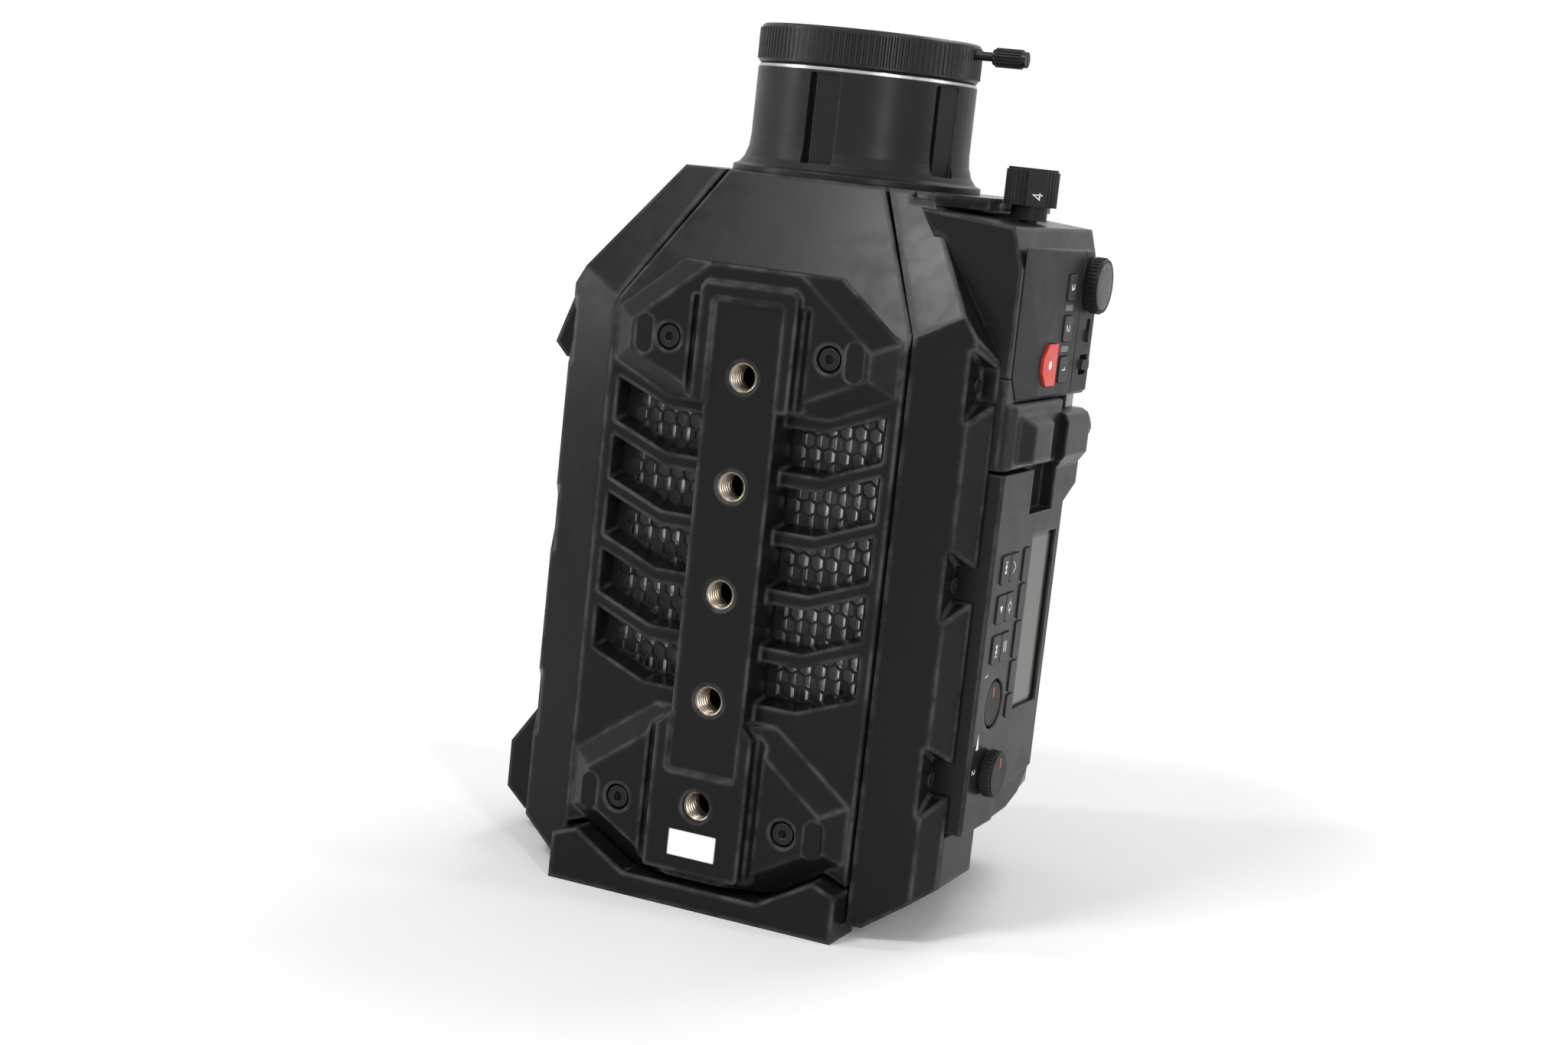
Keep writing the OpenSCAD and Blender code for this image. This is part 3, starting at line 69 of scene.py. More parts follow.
def new_object(name, verts_mm, faces, body, material):
    """An object at the origin whose mesh holds its place. verts_mm is (n, 3) in millimetres.

    faces is an array with one row of vertex numbers a face, or a list where faces differ."""
    mesh = bpy.data.meshes.new(name)
    verts = np.asarray(verts_mm) * MM
    if isinstance(faces, np.ndarray):
        count, sides = faces.shape
        starts = np.arange(0, faces.size, sides, dtype=np.int32)
        mesh.vertices.add(len(verts))
        mesh.vertices.foreach_set("co", verts.astype(np.float32).ravel())
        mesh.loops.add(faces.size)
        mesh.loops.foreach_set("vertex_index", faces.astype(np.int32).ravel())
        mesh.polygons.add(count)
        mesh.polygons.foreach_set("loop_start", starts)
        mesh.polygons.foreach_set("loop_total", np.full(count, sides, dtype=np.int32))
        mesh.update(calc_edges=True)
    else:
        mesh.from_pydata(verts.tolist(), [], faces)
    bm = bmesh.new()
    bm.from_mesh(mesh)
    bmesh.ops.remove_doubles(bm, verts=bm.verts, dist=MERGE_M)
    bmesh.ops.dissolve_degenerate(bm, dist=COLLAPSE_M, edges=bm.edges)
    bmesh.ops.recalc_face_normals(bm, faces=bm.faces)
    bm.to_mesh(mesh)
    bm.free()
    mesh.validate()
    piece = bpy.data.objects.new(name, mesh)
    bpy.context.scene.collection.objects.link(piece)
    mesh.materials.append(material)
    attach(piece, body)
    return piece


def grid_faces(rows, cols, close_rows, close_cols):
    """Indices of the quads between neighbouring points of a (rows, cols) grid."""
    r = np.arange(rows if close_rows else rows - 1)[:, None]
    c = np.arange(cols if close_cols else cols - 1)[None, :]
    r2, c2 = (r + 1) % rows, (c + 1) % cols
    quad = np.stack([r * cols + c, r2 * cols + c, r2 * cols + c2, r * cols + c2], axis=-1)
    return quad.reshape(-1, 4)


def grid_piece(name, grids, close_rows, close_cols, body, material):
    """A list of grids of points, each (rows, cols, 3), as one smooth piece."""
    verts, faces, base = [], [], 0
    for grid in grids:
        rows, cols = grid.shape[:2]
        verts.append(grid.reshape(-1, 3))
        faces.append(grid_faces(rows, cols, close_rows, close_cols) + base)
        base += rows * cols
    piece = new_object(name, np.vstack(verts), np.vstack(faces), body, material)
    piece.data.shade_smooth()
    return piece


def ribbon(path, width, thick):
    """A flat band along a path of (n, 2) points with mitred joints: (vertices, faces).

    The side offset at a joint is w/2 along the mean normal m, divided by cos(half the bend)."""
    p = np.asarray(path, float)
    d = np.diff(p, axis=0)
    d /= np.linalg.norm(d, axis=1, keepdims=True)
    before, after = np.vstack([d[:1], d]), np.vstack([d, d[-1:]])
    mean = before + after
    mean /= np.linalg.norm(mean, axis=1, keepdims=True)
    normal = np.stack([-mean[:, 1], mean[:, 0]], axis=1)
    side_of_after = np.stack([-after[:, 1], after[:, 0]], axis=1)
    reach = width / 2 / np.clip((normal * side_of_after).sum(1), 0.5, 1)
    left, right = p + normal * reach[:, None], p - normal * reach[:, None]
    outline = np.vstack([right, left[::-1]])
    return plate(outline, thick, strip=True)


def plate(outline, thick, strip=False):
    """A flat outline of (n, 2) points in turning order, given a thickness: (vertices, faces).

    A strip, whose second half runs back beside its first, is closed with four-sided faces."""
    o = np.asarray(outline, float)
    n = len(o)
    verts = np.vstack([np.c_[o, np.zeros(n)], np.c_[o, np.full(n, thick)]])
    i = np.arange(n)
    j = (i + 1) % n
    sides = np.stack([i, j, n + j, n + i], axis=1).tolist()
    if strip:
        a = np.arange(n // 2 - 1)
        lid = np.stack([n + a, n + a + 1, n + n - 2 - a, n + n - 1 - a], axis=1)
        base = np.stack([n - 1 - a, n - 2 - a, a + 1, a], axis=1)
        return verts, sides + lid.tolist() + base.tolist()
    return verts, sides + [list(range(n))[::-1], list(range(n, 2 * n))]


def marks(name, shapes, origin, across, up, body, material):
    """Flat shapes laid on a face. across and up span the face; their cross product points out."""
    o, u, v = (np.asarray(a, float) for a in (origin, across, up))
    n = np.cross(u, v)
    verts, faces, base = [], [], 0
    for vs, fs in shapes:
        verts.append(o + vs[:, :1] * u + vs[:, 1:2] * v + vs[:, 2:3] * n)
        faces += [[k + base for k in f] for f in fs]
        base += len(vs)
    return new_object(name, np.vstack(verts), faces, body, material)


print("mesh builders ready, points nearer than", MERGE_M / MM, "mm are merged")

# %% [markdown]
# A finish is a small graph of shader nodes. `add_node` makes a node, sets its choices and fills
# its inputs with values or with links. `Graph` holds one material and gives short names to what
# nearly every finish needs: cloudy noise, a range mapped to another, and softened edges.

# %% Shader graph helper
def add_node(tree, kind, inputs=None, **choices):
    """A shader node in a tree, its choices set and its inputs given values or links."""
    node = tree.nodes.new("ShaderNode" + kind)
    for key, value in choices.items():
        setattr(node, key, value)
    for key, value in (inputs or {}).items():
        if isinstance(value, bpy.types.NodeSocket):
            tree.links.new(value, node.inputs[key])
        else:
            node.inputs[key].default_value = value
    return node


class Graph:
    """A material's node tree with short calls for the nodes that the finishes share."""

    def __init__(self, name):
        self.mat = bpy.data.materials.new(name)
        self.mat.use_nodes = True
        self.tree = self.mat.node_tree
        self.tree.nodes.clear()
        self.coords = self.add("TexCoord").outputs["Object"]

    def add(self, kind, inputs=None, **choices):
        """A node of this material."""
        return add_node(self.tree, kind, inputs, **choices)

    def noise(self, size_mm, detail=3.0, rough=0.55, vector=None):
        """Cloudy noise from 0 to 1 whose blotches are about size_mm across."""
        inputs = {"Vector": vector or self.coords, "Scale": 1 / (size_mm * MM),
                  "Detail": detail, "Roughness": rough}
        return self.add("TexNoise", inputs).outputs["Fac"]

    def spread(self, value, lo, hi, to_lo=0.0, to_hi=1.0):
        """value from lo to hi becomes to_lo to to_hi, with soft ends and none beyond them."""
        inputs = {"Value": value, "From Min": lo, "From Max": hi, "To Min": to_lo, "To Max": to_hi}
        return self.add("MapRange", inputs, clamp=True,
                        interpolation_type="SMOOTHSTEP").outputs["Result"]

    def math(self, op, a, b=0.0):
        """One step of arithmetic on two values."""
        return self.add("Math", {0: a, 1: b}, operation=op, use_clamp=False).outputs[0]

    def mix(self, fac, a, b):
        """Colour a where fac is 0, colour b where it is 1."""
        return self.add("Mix", {0: fac, 6: a, 7: b}, data_type="RGBA").outputs[2]

    def stretched(self, scale, turn=(0, 0, 0)):
        """The object's coordinates scaled and turned, which draws a pattern out along an axis."""
        return self.add("Mapping", {"Vector": self.coords, "Scale": scale,
                                    "Rotation": turn}).outputs[0]

    def edges(self, round_mm, samples=4):
        """(a normal that rounds the edges, how near an edge a point is from 0 to 1)."""
        rounded = self.add("Bevel", {"Radius": round_mm * MM}, samples=samples).outputs["Normal"]
        flat = self.add("NewGeometry").outputs["True Normal"]
        dot = self.add("VectorMath", {0: rounded, 1: flat}, operation="DOT_PRODUCT")
        near = self.spread(self.math("SUBTRACT", 1.0, dot.outputs["Value"]), 0.004, 0.09)
        return rounded, near

    def bump(self, strength, depth_mm, height, normal):
        """The normal that a height field of that depth gives to a surface."""
        return self.add("Bump", {"Strength": strength, "Distance": depth_mm * MM,
                                 "Height": height, "Normal": normal}).outputs["Normal"]

    def done(self, inputs):
        """Closes the graph with one main shader and gives the material."""
        shader = self.add("BsdfPrincipled", inputs)
        self.add("OutputMaterial", {"Surface": shader.outputs["BSDF"]})
        return self.mat


def rgb(r, g=None, b=None, share=1.0):
    """A colour socket's value from one grey or three channels, each times share and at most 1."""
    g, b = (r, r) if g is None else (g, b)
    return (min(r * share, 1), min(g * share, 1), min(b * share, 1), 1)


print("shader helper ready:", [k for k in vars(Graph) if not k.startswith("_")])

# %% [markdown]
# Most of the body is cast metal with a satin black coat. Three things make such a coat look
# real: a fine orange-peel grain, cloudy differences in gloss where hands have polished it,
# and a paler, smoother line along the edges, partly rubbed wear and partly a painted
# highlight. A Bevel node supplies both the soft edges and the mask for that pale line,
# because the frame's own edges are perfectly sharp.

# %% Coated metal and moulded plastic
COAT_IOR = 1.2
CLOUD_GLOSS = 0.03
DUST_SHARE = 0.05
DUST_COLOUR = (0.16, 0.15, 0.135)


def coated(name, colour, rough, grain_mm, depth_mm, edge_paling, round_mm, specular=0.6, metallic=0.0):
    """A sprayed or moulded surface: grain, clouds of gloss, pale edges and a trace of dust.

    The pale edges are partly rubbed wear and partly a painted highlight.
    """
    g = Graph(name)
    base = (colour,) * 3
    cloud = g.noise(38, 3.5)
    patch = g.noise(9, 5.0, 0.6)
    grain = g.noise(grain_mm, 1.5, 0.5)
    peel = g.noise(grain_mm * 4.5, 1.0, 0.5)
    rounded, near = g.edges(round_mm)
    # Paler, smoother edges: partly rubbed wear, partly a painted highlight along the rounded edges.
    pale_edge = g.math("MULTIPLY", near, g.spread(patch, 0.38, 0.62, 0.25, 1.0))
    pale_edge = g.math("MULTIPLY", pale_edge, edge_paling)
    tone = g.mix(cloud, rgb(*base, share=0.9), rgb(*base, share=1.1))
    tone = g.mix(g.math("MULTIPLY", g.spread(grain, 0.35, 0.7), 0.35), tone, rgb(*base, share=1.7))
    tone = g.mix(pale_edge, tone, rgb(*[min(c * 6 + 0.08, 0.8) for c in base]))
    up = g.add("SeparateXYZ", {0: g.add("NewGeometry").outputs["Normal"]}).outputs["Z"]
    specks = g.spread(g.noise(3.0, 5.0, 0.7), 0.5, 0.72, 0, DUST_SHARE)
    settled = g.math("MULTIPLY", g.spread(up, 0.35, 1.0), specks)
    tone = g.mix(settled, tone, rgb(*DUST_COLOUR))
    gloss = g.spread(cloud, 0.3, 0.7, rough - CLOUD_GLOSS, rough + CLOUD_GLOSS)
    gloss = g.math("ADD", gloss, g.spread(patch, 0.35, 0.65, -0.025, 0.035))
    hair = g.noise(0.5, 2.0, 0.5, g.stretched((1.0, 1.0, 0.06), (0.3, 0.5, 0.2)))
    gloss = g.math("SUBTRACT", gloss, g.math("MULTIPLY", pale_edge, 0.12))
    gloss = g.math("ADD", gloss, g.spread(hair, 0.72, 0.76, 0, 0.1))
    height = g.math("ADD", grain, g.math("MULTIPLY", peel, 1.6))
    return g.done({"Base Color": tone, "Roughness": gloss, "Metallic": metallic, "IOR": COAT_IOR,
                   "Specular IOR Level": specular,
                   "Normal": g.bump(0.5, depth_mm, height, rounded)})


# colour, roughness, width and depth of the grain in mm, pale edges (partly wear, partly painted
# highlight), softness of the edges in mm
FIN = {
    "tray_finish": coated("satin_black_cast", 0.0065, 0.23, 0.24, 0.006, 0.75, 2.4),
    "shell_finish": coated("satin_black_shell", 0.0065, 0.24, 0.26, 0.007, 0.75, 2.6),
    "housing_finish": coated("housing_black", 0.008, 0.28, 0.30, 0.01, 0.55, 2.2),
    "door_finish": coated("door_black", 0.0095, 0.3, 0.30, 0.011, 0.5, 1.4),
    "panel_finish": coated("panel_black", 0.014, 0.42, 0.34, 0.013, 0.3, 0.7),
    "latch_grey": coated("latch_dark_grey", 0.035, 0.5, 0.35, 0.02, 0.3, 0.5),
    "switch_grey": coated("switch_black_plastic", 0.022, 0.45, 0.4, 0.015, 0.25, 0.3),
    "key_grey": coated("key_dark_plastic", 0.02, 0.36, 0.4, 0.012, 0.2, 0.45),
    "lamp_grey": coated("lamp_smoked_plastic", 0.11, 0.3, 0.5, 0.006, 0.1, 0.25),
    "knob_black": coated("knob_black_plastic", 0.011, 0.44, 0.3, 0.02, 0.45, 0.28),
    "wheel_black": coated("wheel_black_anodised", 0.012, 0.5, 0.2, 0.006, 0.3, 0.3),
    "plug_rubber": coated("plug_black_rubber", 0.008, 0.5, 0.5, 0.03, 0.15, 0.25, specular=0.4),
    "screw_black": coated("screw_black_oxide", 0.018, 0.33, 0.2, 0.008, 0.7, 0.22, metallic=0.55),
    "mesh_finish": coated("mesh_black_steel", 0.02, 0.36, 0.2, 0.008, 0.6, 0.18, metallic=0.35),
    "barrel_black": coated("barrel_black_coat", 0.012, 0.34, 0.16, 0.007, 0.3, 0.7),
}
print("coated finishes", len(FIN))

# %% [markdown]
# Turned metal carries fine rings left by the lathe. The distance from the turning axis drives
# a very fine wave, which goes into the bump. The axis differs from piece to piece, so the
# function takes the axis' direction and its own place.

# %% Turned and bright metals
HINGE_AT = (78.5, 0, 164.8)


def turned(name, colour, rough, axis="Z", centre=(0, 0, 0), pitch_mm=0.18, metallic=1.0,
           round_mm=0.25, depth_mm=0.004, edge_paling=0.4, ring_share=0.5, specular=0.5):
    """Metal from a lathe: rings about an axis, small gloss clouds and bright rubbed edges.

    The wave is sin(2 pi (r + h) / pitch), r from the axis and h along it."""
    g = Graph(name)
    place = tuple(c * MM for c in centre)
    moved = g.add("VectorMath", {0: g.coords, 1: place}, operation="SUBTRACT").outputs["Vector"]
    keep = {"X": (0, 1, 1), "Y": (1, 0, 1), "Z": (1, 1, 0)}[axis]
    flat = g.add("VectorMath", {0: moved, 1: keep}, operation="MULTIPLY").outputs["Vector"]
    radius = g.add("VectorMath", {0: flat}, operation="LENGTH").outputs["Value"]
    height_on_axis = g.add("SeparateXYZ", {0: moved}).outputs[axis]
    step = g.math("ADD", radius, height_on_axis)
    lines = g.math("SINE", g.math("MULTIPLY", step, 2 * math.pi / (pitch_mm * MM)))
    drift = g.noise(1.2, 4.0)
    rounded, near = g.edges(round_mm)
    pale_edge = g.math("MULTIPLY", near, edge_paling)
    tone = g.mix(g.noise(6, 4.0), rgb(*colour, share=0.85), rgb(*colour, share=1.1))
    tone = g.mix(pale_edge, tone, rgb(*[min(c * 1.6 + 0.12, 0.9) for c in colour]))
    gloss = g.math("ADD", g.spread(drift, 0.3, 0.7, rough - 0.06, rough + 0.08),
                   g.math("MULTIPLY", lines, 0.03 * ring_share))
    height = g.math("ADD", g.math("MULTIPLY", lines, ring_share), g.math("MULTIPLY", drift, 0.6))
    return g.done({"Base Color": tone, "Roughness": gloss, "Metallic": metallic,
                   "Specular IOR Level": specular,
                   "Normal": g.bump(0.6, depth_mm, height, rounded)})


FIN["ring_black"] = turned("ring_black_anodised", (0.011, 0.011, 0.0115), 0.36, metallic=0.15,
                           specular=0.25, round_mm=0.22, edge_paling=0.16, pitch_mm=0.3)
FIN["seat_bright"] = turned("seat_stainless", (0.44, 0.43, 0.41), 0.33, ring_share=0.25,
                            depth_mm=0.002)
FIN["pin_steel"] = turned("pin_steel", (0.55, 0.54, 0.52), 0.3, axis="Y", centre=HINGE_AT)
FIN["contact_gold"] = turned("contact_gold", (0.83, 0.58, 0.23), 0.25, pitch_mm=0.25)
FIN["socket_metal"] = turned("socket_nickel", (0.5, 0.49, 0.46), 0.3, axis="X", pitch_mm=0.2)
FIN["sink_metal"] = turned("sink_aluminium", (0.52, 0.52, 0.53), 0.4, axis="Y", pitch_mm=0.5,
                           depth_mm=0.006, round_mm=0.2, ring_share=0.25)
print("turned metals added, finishes now", len(FIN))

# %% [markdown]
# The rail's inserts are bright inside their thread and blackened on the flange round it. One
# material does both: it works out how far a point is from the nearest insert's axis and changes
# from bright to black just outside the thread. The five axes stand in a row along Z.

# %% Steel of the threaded inserts
INSERTS, FIRST_Z, STEP_Z = 5, 34.6, 35.0
BRIGHT_TO, BLACK_FROM = 4.68, 4.74


def insert_steel():
    """Bright thread, black flange: r = sqrt(x^2 + (((z - z0) mod step) - step / 2)^2)."""
    g = Graph("insert_steel")
    x, _, z = (g.add("SeparateXYZ", {0: g.coords}).outputs[k] for k in range(3))
    from_start = g.math("SUBTRACT", z, (FIRST_Z - STEP_Z / 2) * MM)
    row = g.math("SUBTRACT", g.math("FLOORED_MODULO", from_start, STEP_Z * MM), STEP_Z / 2 * MM)
    squares = g.math("ADD", g.math("MULTIPLY", x, x), g.math("MULTIPLY", row, row))
    black = g.spread(g.math("SQRT", squares), BRIGHT_TO * MM, BLACK_FROM * MM)
    drift = g.noise(1.0, 3.0)
    tone = g.mix(drift, rgb(0.30, 0.25, 0.19), rgb(0.42, 0.36, 0.29))
    tone = g.mix(black, tone, rgb(0.02))
    rounded, near = g.edges(0.15)
    tone = g.mix(g.math("MULTIPLY", near, 0.5), tone, rgb(0.62, 0.58, 0.52))
    return g.done({"Base Color": tone, "Metallic": g.spread(black, 0, 1, 1.0, 0.4),
                   "Roughness": g.spread(drift, 0.3, 0.7, 0.24, 0.36),
                   "Normal": g.bump(0.4, 0.004, drift, rounded)})


FIN["insert_steel"] = insert_steel()
print("insert steel: bright to", BRIGHT_TO, "mm from each of", INSERTS, "axes")

# %% [markdown]
# A few pieces need their own recipe: glass that shows a faint coating colour, the sensor with
# its fine lattice, the green circuit board with tracks, the red button, and the two displays,
# which are dark glass over a slightly paler cell. Ink and paper follow for the marks.

# %% Glass, sensor, board and button
def clear_glass(name, tint, rough=0.02):
    """Coated optical glass: nearly black from outside, a tinted reflection and light dust."""
    g = Graph(name)
    dust = g.spread(g.noise(0.9, 5.0, 0.7), 0.6, 0.75, 0, 0.22)
    gloss = g.math("ADD", g.spread(g.noise(7, 3.0), 0.3, 0.7, rough, rough + 0.03), dust)
    tone = g.mix(dust, rgb(*tint), rgb(0.2))
    return g.done({"Base Color": tone, "Roughness": gloss, "IOR": 1.52, "Coat Weight": 0.8,
                   "Coat Roughness": 0.02, "Coat Tint": (0.55, 0.75, 0.6, 1)})


def sensor_finish():
    """The image sensor: a lattice of cells a quarter of a millimetre wide under a green sheen."""
    g = Graph("sensor_lattice")
    cells = g.add("TexBrick", {"Vector": g.coords, "Scale": 1 / (0.5 * MM), "Mortar Size": 0.03,
                               "Color1": (0.02, 0.045, 0.05, 1), "Color2": (0.03, 0.05, 0.07, 1),
                               "Mortar": (0.12, 0.11, 0.08, 1)}, offset=0.0)
    sheen = g.noise(5, 2.0)
    tone = g.mix(sheen, cells.outputs["Color"], (0.05, 0.03, 0.08, 1))
    return g.done({"Base Color": tone, "Roughness": g.spread(sheen, 0.2, 0.8, 0.12, 0.3),
                   "Metallic": 0.4})


def board_finish():
    """A circuit board: straight tracks under green lacquer, from two crossed stepped noises."""
    g = Graph("board_lacquer")
    wide, tall = g.stretched((1.0, 1.0, 0.04)), g.stretched((0.04, 1.0, 1.0))
    tracks = g.math("MAXIMUM", g.spread(g.noise(1.6, 0, 0.5, wide), 0.56, 0.58),
                    g.spread(g.noise(1.9, 0, 0.5, tall), 0.58, 0.6))
    tone = g.mix(tracks, (0.008, 0.05, 0.02, 1), (0.02, 0.12, 0.045, 1))
    rounded, _ = g.edges(0.2)
    return g.done({"Base Color": tone, "Roughness": g.spread(g.noise(4), 0.3, 0.7, 0.2, 0.35),
                   "Coat Weight": 0.3, "Normal": g.bump(0.6, 0.02, tracks, rounded)})


def red_button():
    """Red moulded plastic, a little see-through, duller where a thumb presses it."""
    g = Graph("button_red")
    thumb = g.noise(3.5, 4.0, 0.6)
    grain = g.noise(0.3, 2.0)
    rounded, near = g.edges(0.6)
    tone = g.mix(thumb, (0.50, 0.012, 0.008, 1), (0.62, 0.028, 0.015, 1))
    tone = g.mix(g.math("MULTIPLY", near, 0.35), tone, (0.9, 0.16, 0.1, 1))
    return g.done({"Base Color": tone, "Roughness": g.spread(thumb, 0.3, 0.7, 0.26, 0.42),
                   "Subsurface Weight": 0.08, "Subsurface Radius": (0.8, 0.2, 0.1),
                   "Subsurface Scale": MM, "Normal": g.bump(0.4, 0.012, grain, rounded)})


FIN["glass_clear"] = clear_glass("glass_coated", (0.012, 0.016, 0.02))
FIN["sensor_face"] = sensor_finish()
FIN["board_green"] = board_finish()
FIN["record_red"] = red_button()
print("special finishes added, finishes now", len(FIN))

# %% [markdown]
# Both displays are switched off. The small one shows its olive cell inside a black border, and
# its limits come from the node's own box, so the border stays even on all four sides.

# %% Displays
BORDER_MM, BORDER_SOFT_MM = 1.6, 0.04


def display(name, cell, rough, pitch_mm=0.3, node=None):
    """A display that is switched off: a grid of cells under dark glass with wiping marks.

    With a node, the glass is black outside |y - y0| < hy - border and |z - z0| < hz - border."""
    g = Graph(name)
    upright = g.add("Mapping", {"Vector": g.coords, "Rotation": (0, math.pi / 2, 0)}).outputs[0]
    grid = g.add("TexBrick", {"Vector": upright, "Scale": 1 / (pitch_mm * 2 * MM),
                              "Mortar Size": 0.012, "Color1": rgb(*cell),
                              "Color2": rgb(*cell, share=1.1), "Mortar": rgb(*cell, share=0.6)},
                 offset=0.0)
    smear = g.noise(9, 4.0, 0.65, g.stretched((1, 0.15, 0.5), (0.5, 0, 0)))
    tone = g.mix(g.spread(smear, 0.45, 0.75, 0, 0.12), grid.outputs["Color"], rgb(0.22))
    if node:
        lo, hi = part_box(node)
        place = g.add("SeparateXYZ", {0: g.coords}).outputs
        outside = []
        for k in (1, 2):
            off = g.math("ABSOLUTE", g.math("SUBTRACT", place[k], (lo[k] + hi[k]) / 2))
            limit = (hi[k] - lo[k]) / 2 - BORDER_MM * MM
            outside.append(g.spread(off, limit - BORDER_SOFT_MM * MM, limit + BORDER_SOFT_MM * MM))
        tone = g.mix(g.math("MAXIMUM", *outside), tone, rgb(0.004))
    return g.done({"Base Color": tone, "Roughness": g.spread(smear, 0.3, 0.75, rough, rough + 0.12),
                   "IOR": 1.33, "Specular IOR Level": 0.5, "Coat Weight": 0.12,
                   "Coat Roughness": 0.03})


FIN["display_face"] = display("status_cell_glass", (0.055, 0.055, 0.046), 0.12,
                              node="status_display")
FIN["screen_glass"] = display("monitor_black_glass", (0.006, 0.006, 0.008), 0.08, 0.12)
print("finishes", len(FIN))

# %% [markdown]
# Screen-printed ink is matt and chips in tiny specks; a sticker is paper with a dirty rim.

# %% Ink and paper
def print_ink(name, colour):
    """Screen-printed ink: matt, thin in places and chipped by tiny specks."""
    g = Graph(name)
    chips = g.spread(g.noise(0.25, 3.0), 0.62, 0.68, 0, 0.5)
    tone = g.mix(g.noise(1.5), rgb(*colour, share=0.9), rgb(*colour, share=1.05))
    return g.done({"Base Color": g.mix(chips, tone, rgb(*colour, share=0.35)),
                   "Roughness": g.spread(g.noise(2), 0.3, 0.7, 0.5, 0.62)})


def paper_label():
    """A blank white sticker: paper fibres and a slightly dirty rim."""
    g = Graph("sticker_white")
    fibre = g.noise(0.5, 5.0, 0.7)
    rounded, near = g.edges(0.3)
    tone = g.mix(fibre, rgb(0.74, 0.74, 0.72), rgb(0.82, 0.82, 0.81))
    tone = g.mix(g.math("MULTIPLY", near, 0.4), tone, rgb(0.45, 0.43, 0.4))
    return g.done({"Base Color": tone, "Roughness": g.spread(fibre, 0.3, 0.7, 0.45, 0.6),
                   "Normal": g.bump(0.3, 0.01, fibre, rounded)})


WHITE = print_ink("print_white", (0.72, 0.72, 0.72))
AMBER = print_ink("print_amber", (0.40, 0.12, 0.03))
LABEL = paper_label()
print("inks and paper:", WHITE.name, AMBER.name, LABEL.name)

# %% [markdown]
# Each node of the record names a material slot. The finish with the slot's name goes on it;
# the mount barrel shares its slot with the ring but has a finer coat, so it is set by name.

# %% Finishes on the frame's nodes
subparts = frame["record"].get("subparts", [])
slots = {s["node"]: s.get("material_slot") or s.get("slot") for s in subparts}
by_hand = {"mount_barrel": "barrel_black"}
missing = []
for name, node in NODES.items():
    key = by_hand.get(name) or slots.get(name)
    if key not in FIN:
        missing.append((name, key))
        key = "shell_finish"
    node.data.materials.clear()
    node.data.materials.append(FIN[key])
print("nodes without a finish of their own:", missing)

# %% [markdown]
# The rail has five steel inserts with a 3/8-inch thread. The frame holds their plain bore; the
# piece below has the real thread. Its wall is one surface: along the bore the radius is
#   r(a, h) = minor + (major - minor) * V(h / pitch - a / 2 pi)
# where V is a triangle wave with flattened crests, so the groove climbs one pitch a turn.
# The outline then goes over a chamfered mouth, down the outside and back, and closes.

# %% Threaded inserts
THREAD_MINOR, THREAD_MAJOR, THREAD_PITCH = 3.97, 4.72, 25.4 / 16
WAVE_STEEP, CREST_FLAT = 1.25, 0.12
MOUTH_LAND, MOUTH_LIP, RIM_SOFT = 0.05, 0.08, 0.1
RAIL_Y = -64.4


def insert_points(depth=10.0, outer=4.97, around=72, along=56, chamfer=0.55):
    """Points of one insert in its own frame, (around, outline, 3), h out of the mouth."""
    a = np.linspace(0, 2 * np.pi, around, endpoint=False)[:, None]
    h = np.linspace(0, depth, along)[None, :]
    phase = (h / THREAD_PITCH - a / (2 * np.pi)) % 1
    groove = np.clip((1 - np.abs(2 * phase - 1)) * WAVE_STEEP - CREST_FLAT, 0, 1)
    r = THREAD_MINOR + (THREAD_MAJOR - THREAD_MINOR) * groove
    opening = np.clip((h - (depth - chamfer)) / chamfer, 0, 1)
    mouth = THREAD_MINOR + opening * (THREAD_MAJOR - THREAD_MINOR)
    r = np.maximum(r, np.broadcast_to(mouth, r.shape))
    rim_r = np.array([THREAD_MAJOR + MOUTH_LAND, outer - MOUTH_LIP, outer, outer, outer - RIM_SOFT])
    rim_h = np.array([depth, depth, depth - RIM_SOFT, RIM_SOFT, 0.0])
    rr = np.hstack([r, np.broadcast_to(rim_r, (around, len(rim_r)))])
    hh = np.hstack([np.broadcast_to(h, r.shape), np.broadcast_to(rim_h, (around, len(rim_h)))])
    return np.stack([rr * np.cos(a), rr * np.sin(a), hh], axis=-1)


local = insert_points()
grids = [np.stack([local[..., 0], RAIL_Y - local[..., 2],
                   local[..., 1] + FIRST_Z + k * STEP_Z], axis=-1) for k in range(INSERTS)]
rail_inserts = grid_piece("rail_inserts", grids, True, True, "body",
                          FIN["insert_steel"])
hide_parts("thread_inserts")
print("threaded inserts: faces", len(rail_inserts.data.polygons))

# %% [markdown]
# White print on the keys and beside the dials. The real words stay out: keys carry plain
# pictures, function keys carry the numbers 1 to 3, and the dials 1 and 2. Strokes are mitred
# bands a few hundredths of a millimetre thick, laid on top of the frame's own faces.

# %% Shapes for printed marks
INK_THICK = 0.04
DIGIT_MIDDLE = (0.32, 0.5)
DIGITS = {
    1: [[(0.08, 0.78), (0.36, 1.0), (0.36, 0.0)]],
    2: [[(0.0, 0.76), (0.08, 0.93), (0.3, 1.0), (0.52, 0.93), (0.6, 0.74), (0.5, 0.52),
         (0.0, 0.0), (0.62, 0.0)]],
    3: [[(0.0, 0.9), (0.28, 1.0), (0.54, 0.9), (0.56, 0.68), (0.3, 0.54), (0.58, 0.4),
         (0.6, 0.14), (0.3, 0.0), (0.0, 0.1)]],
    4: [[(0.44, 0.0), (0.44, 1.0), (0.0, 0.3), (0.64, 0.3)]],
}


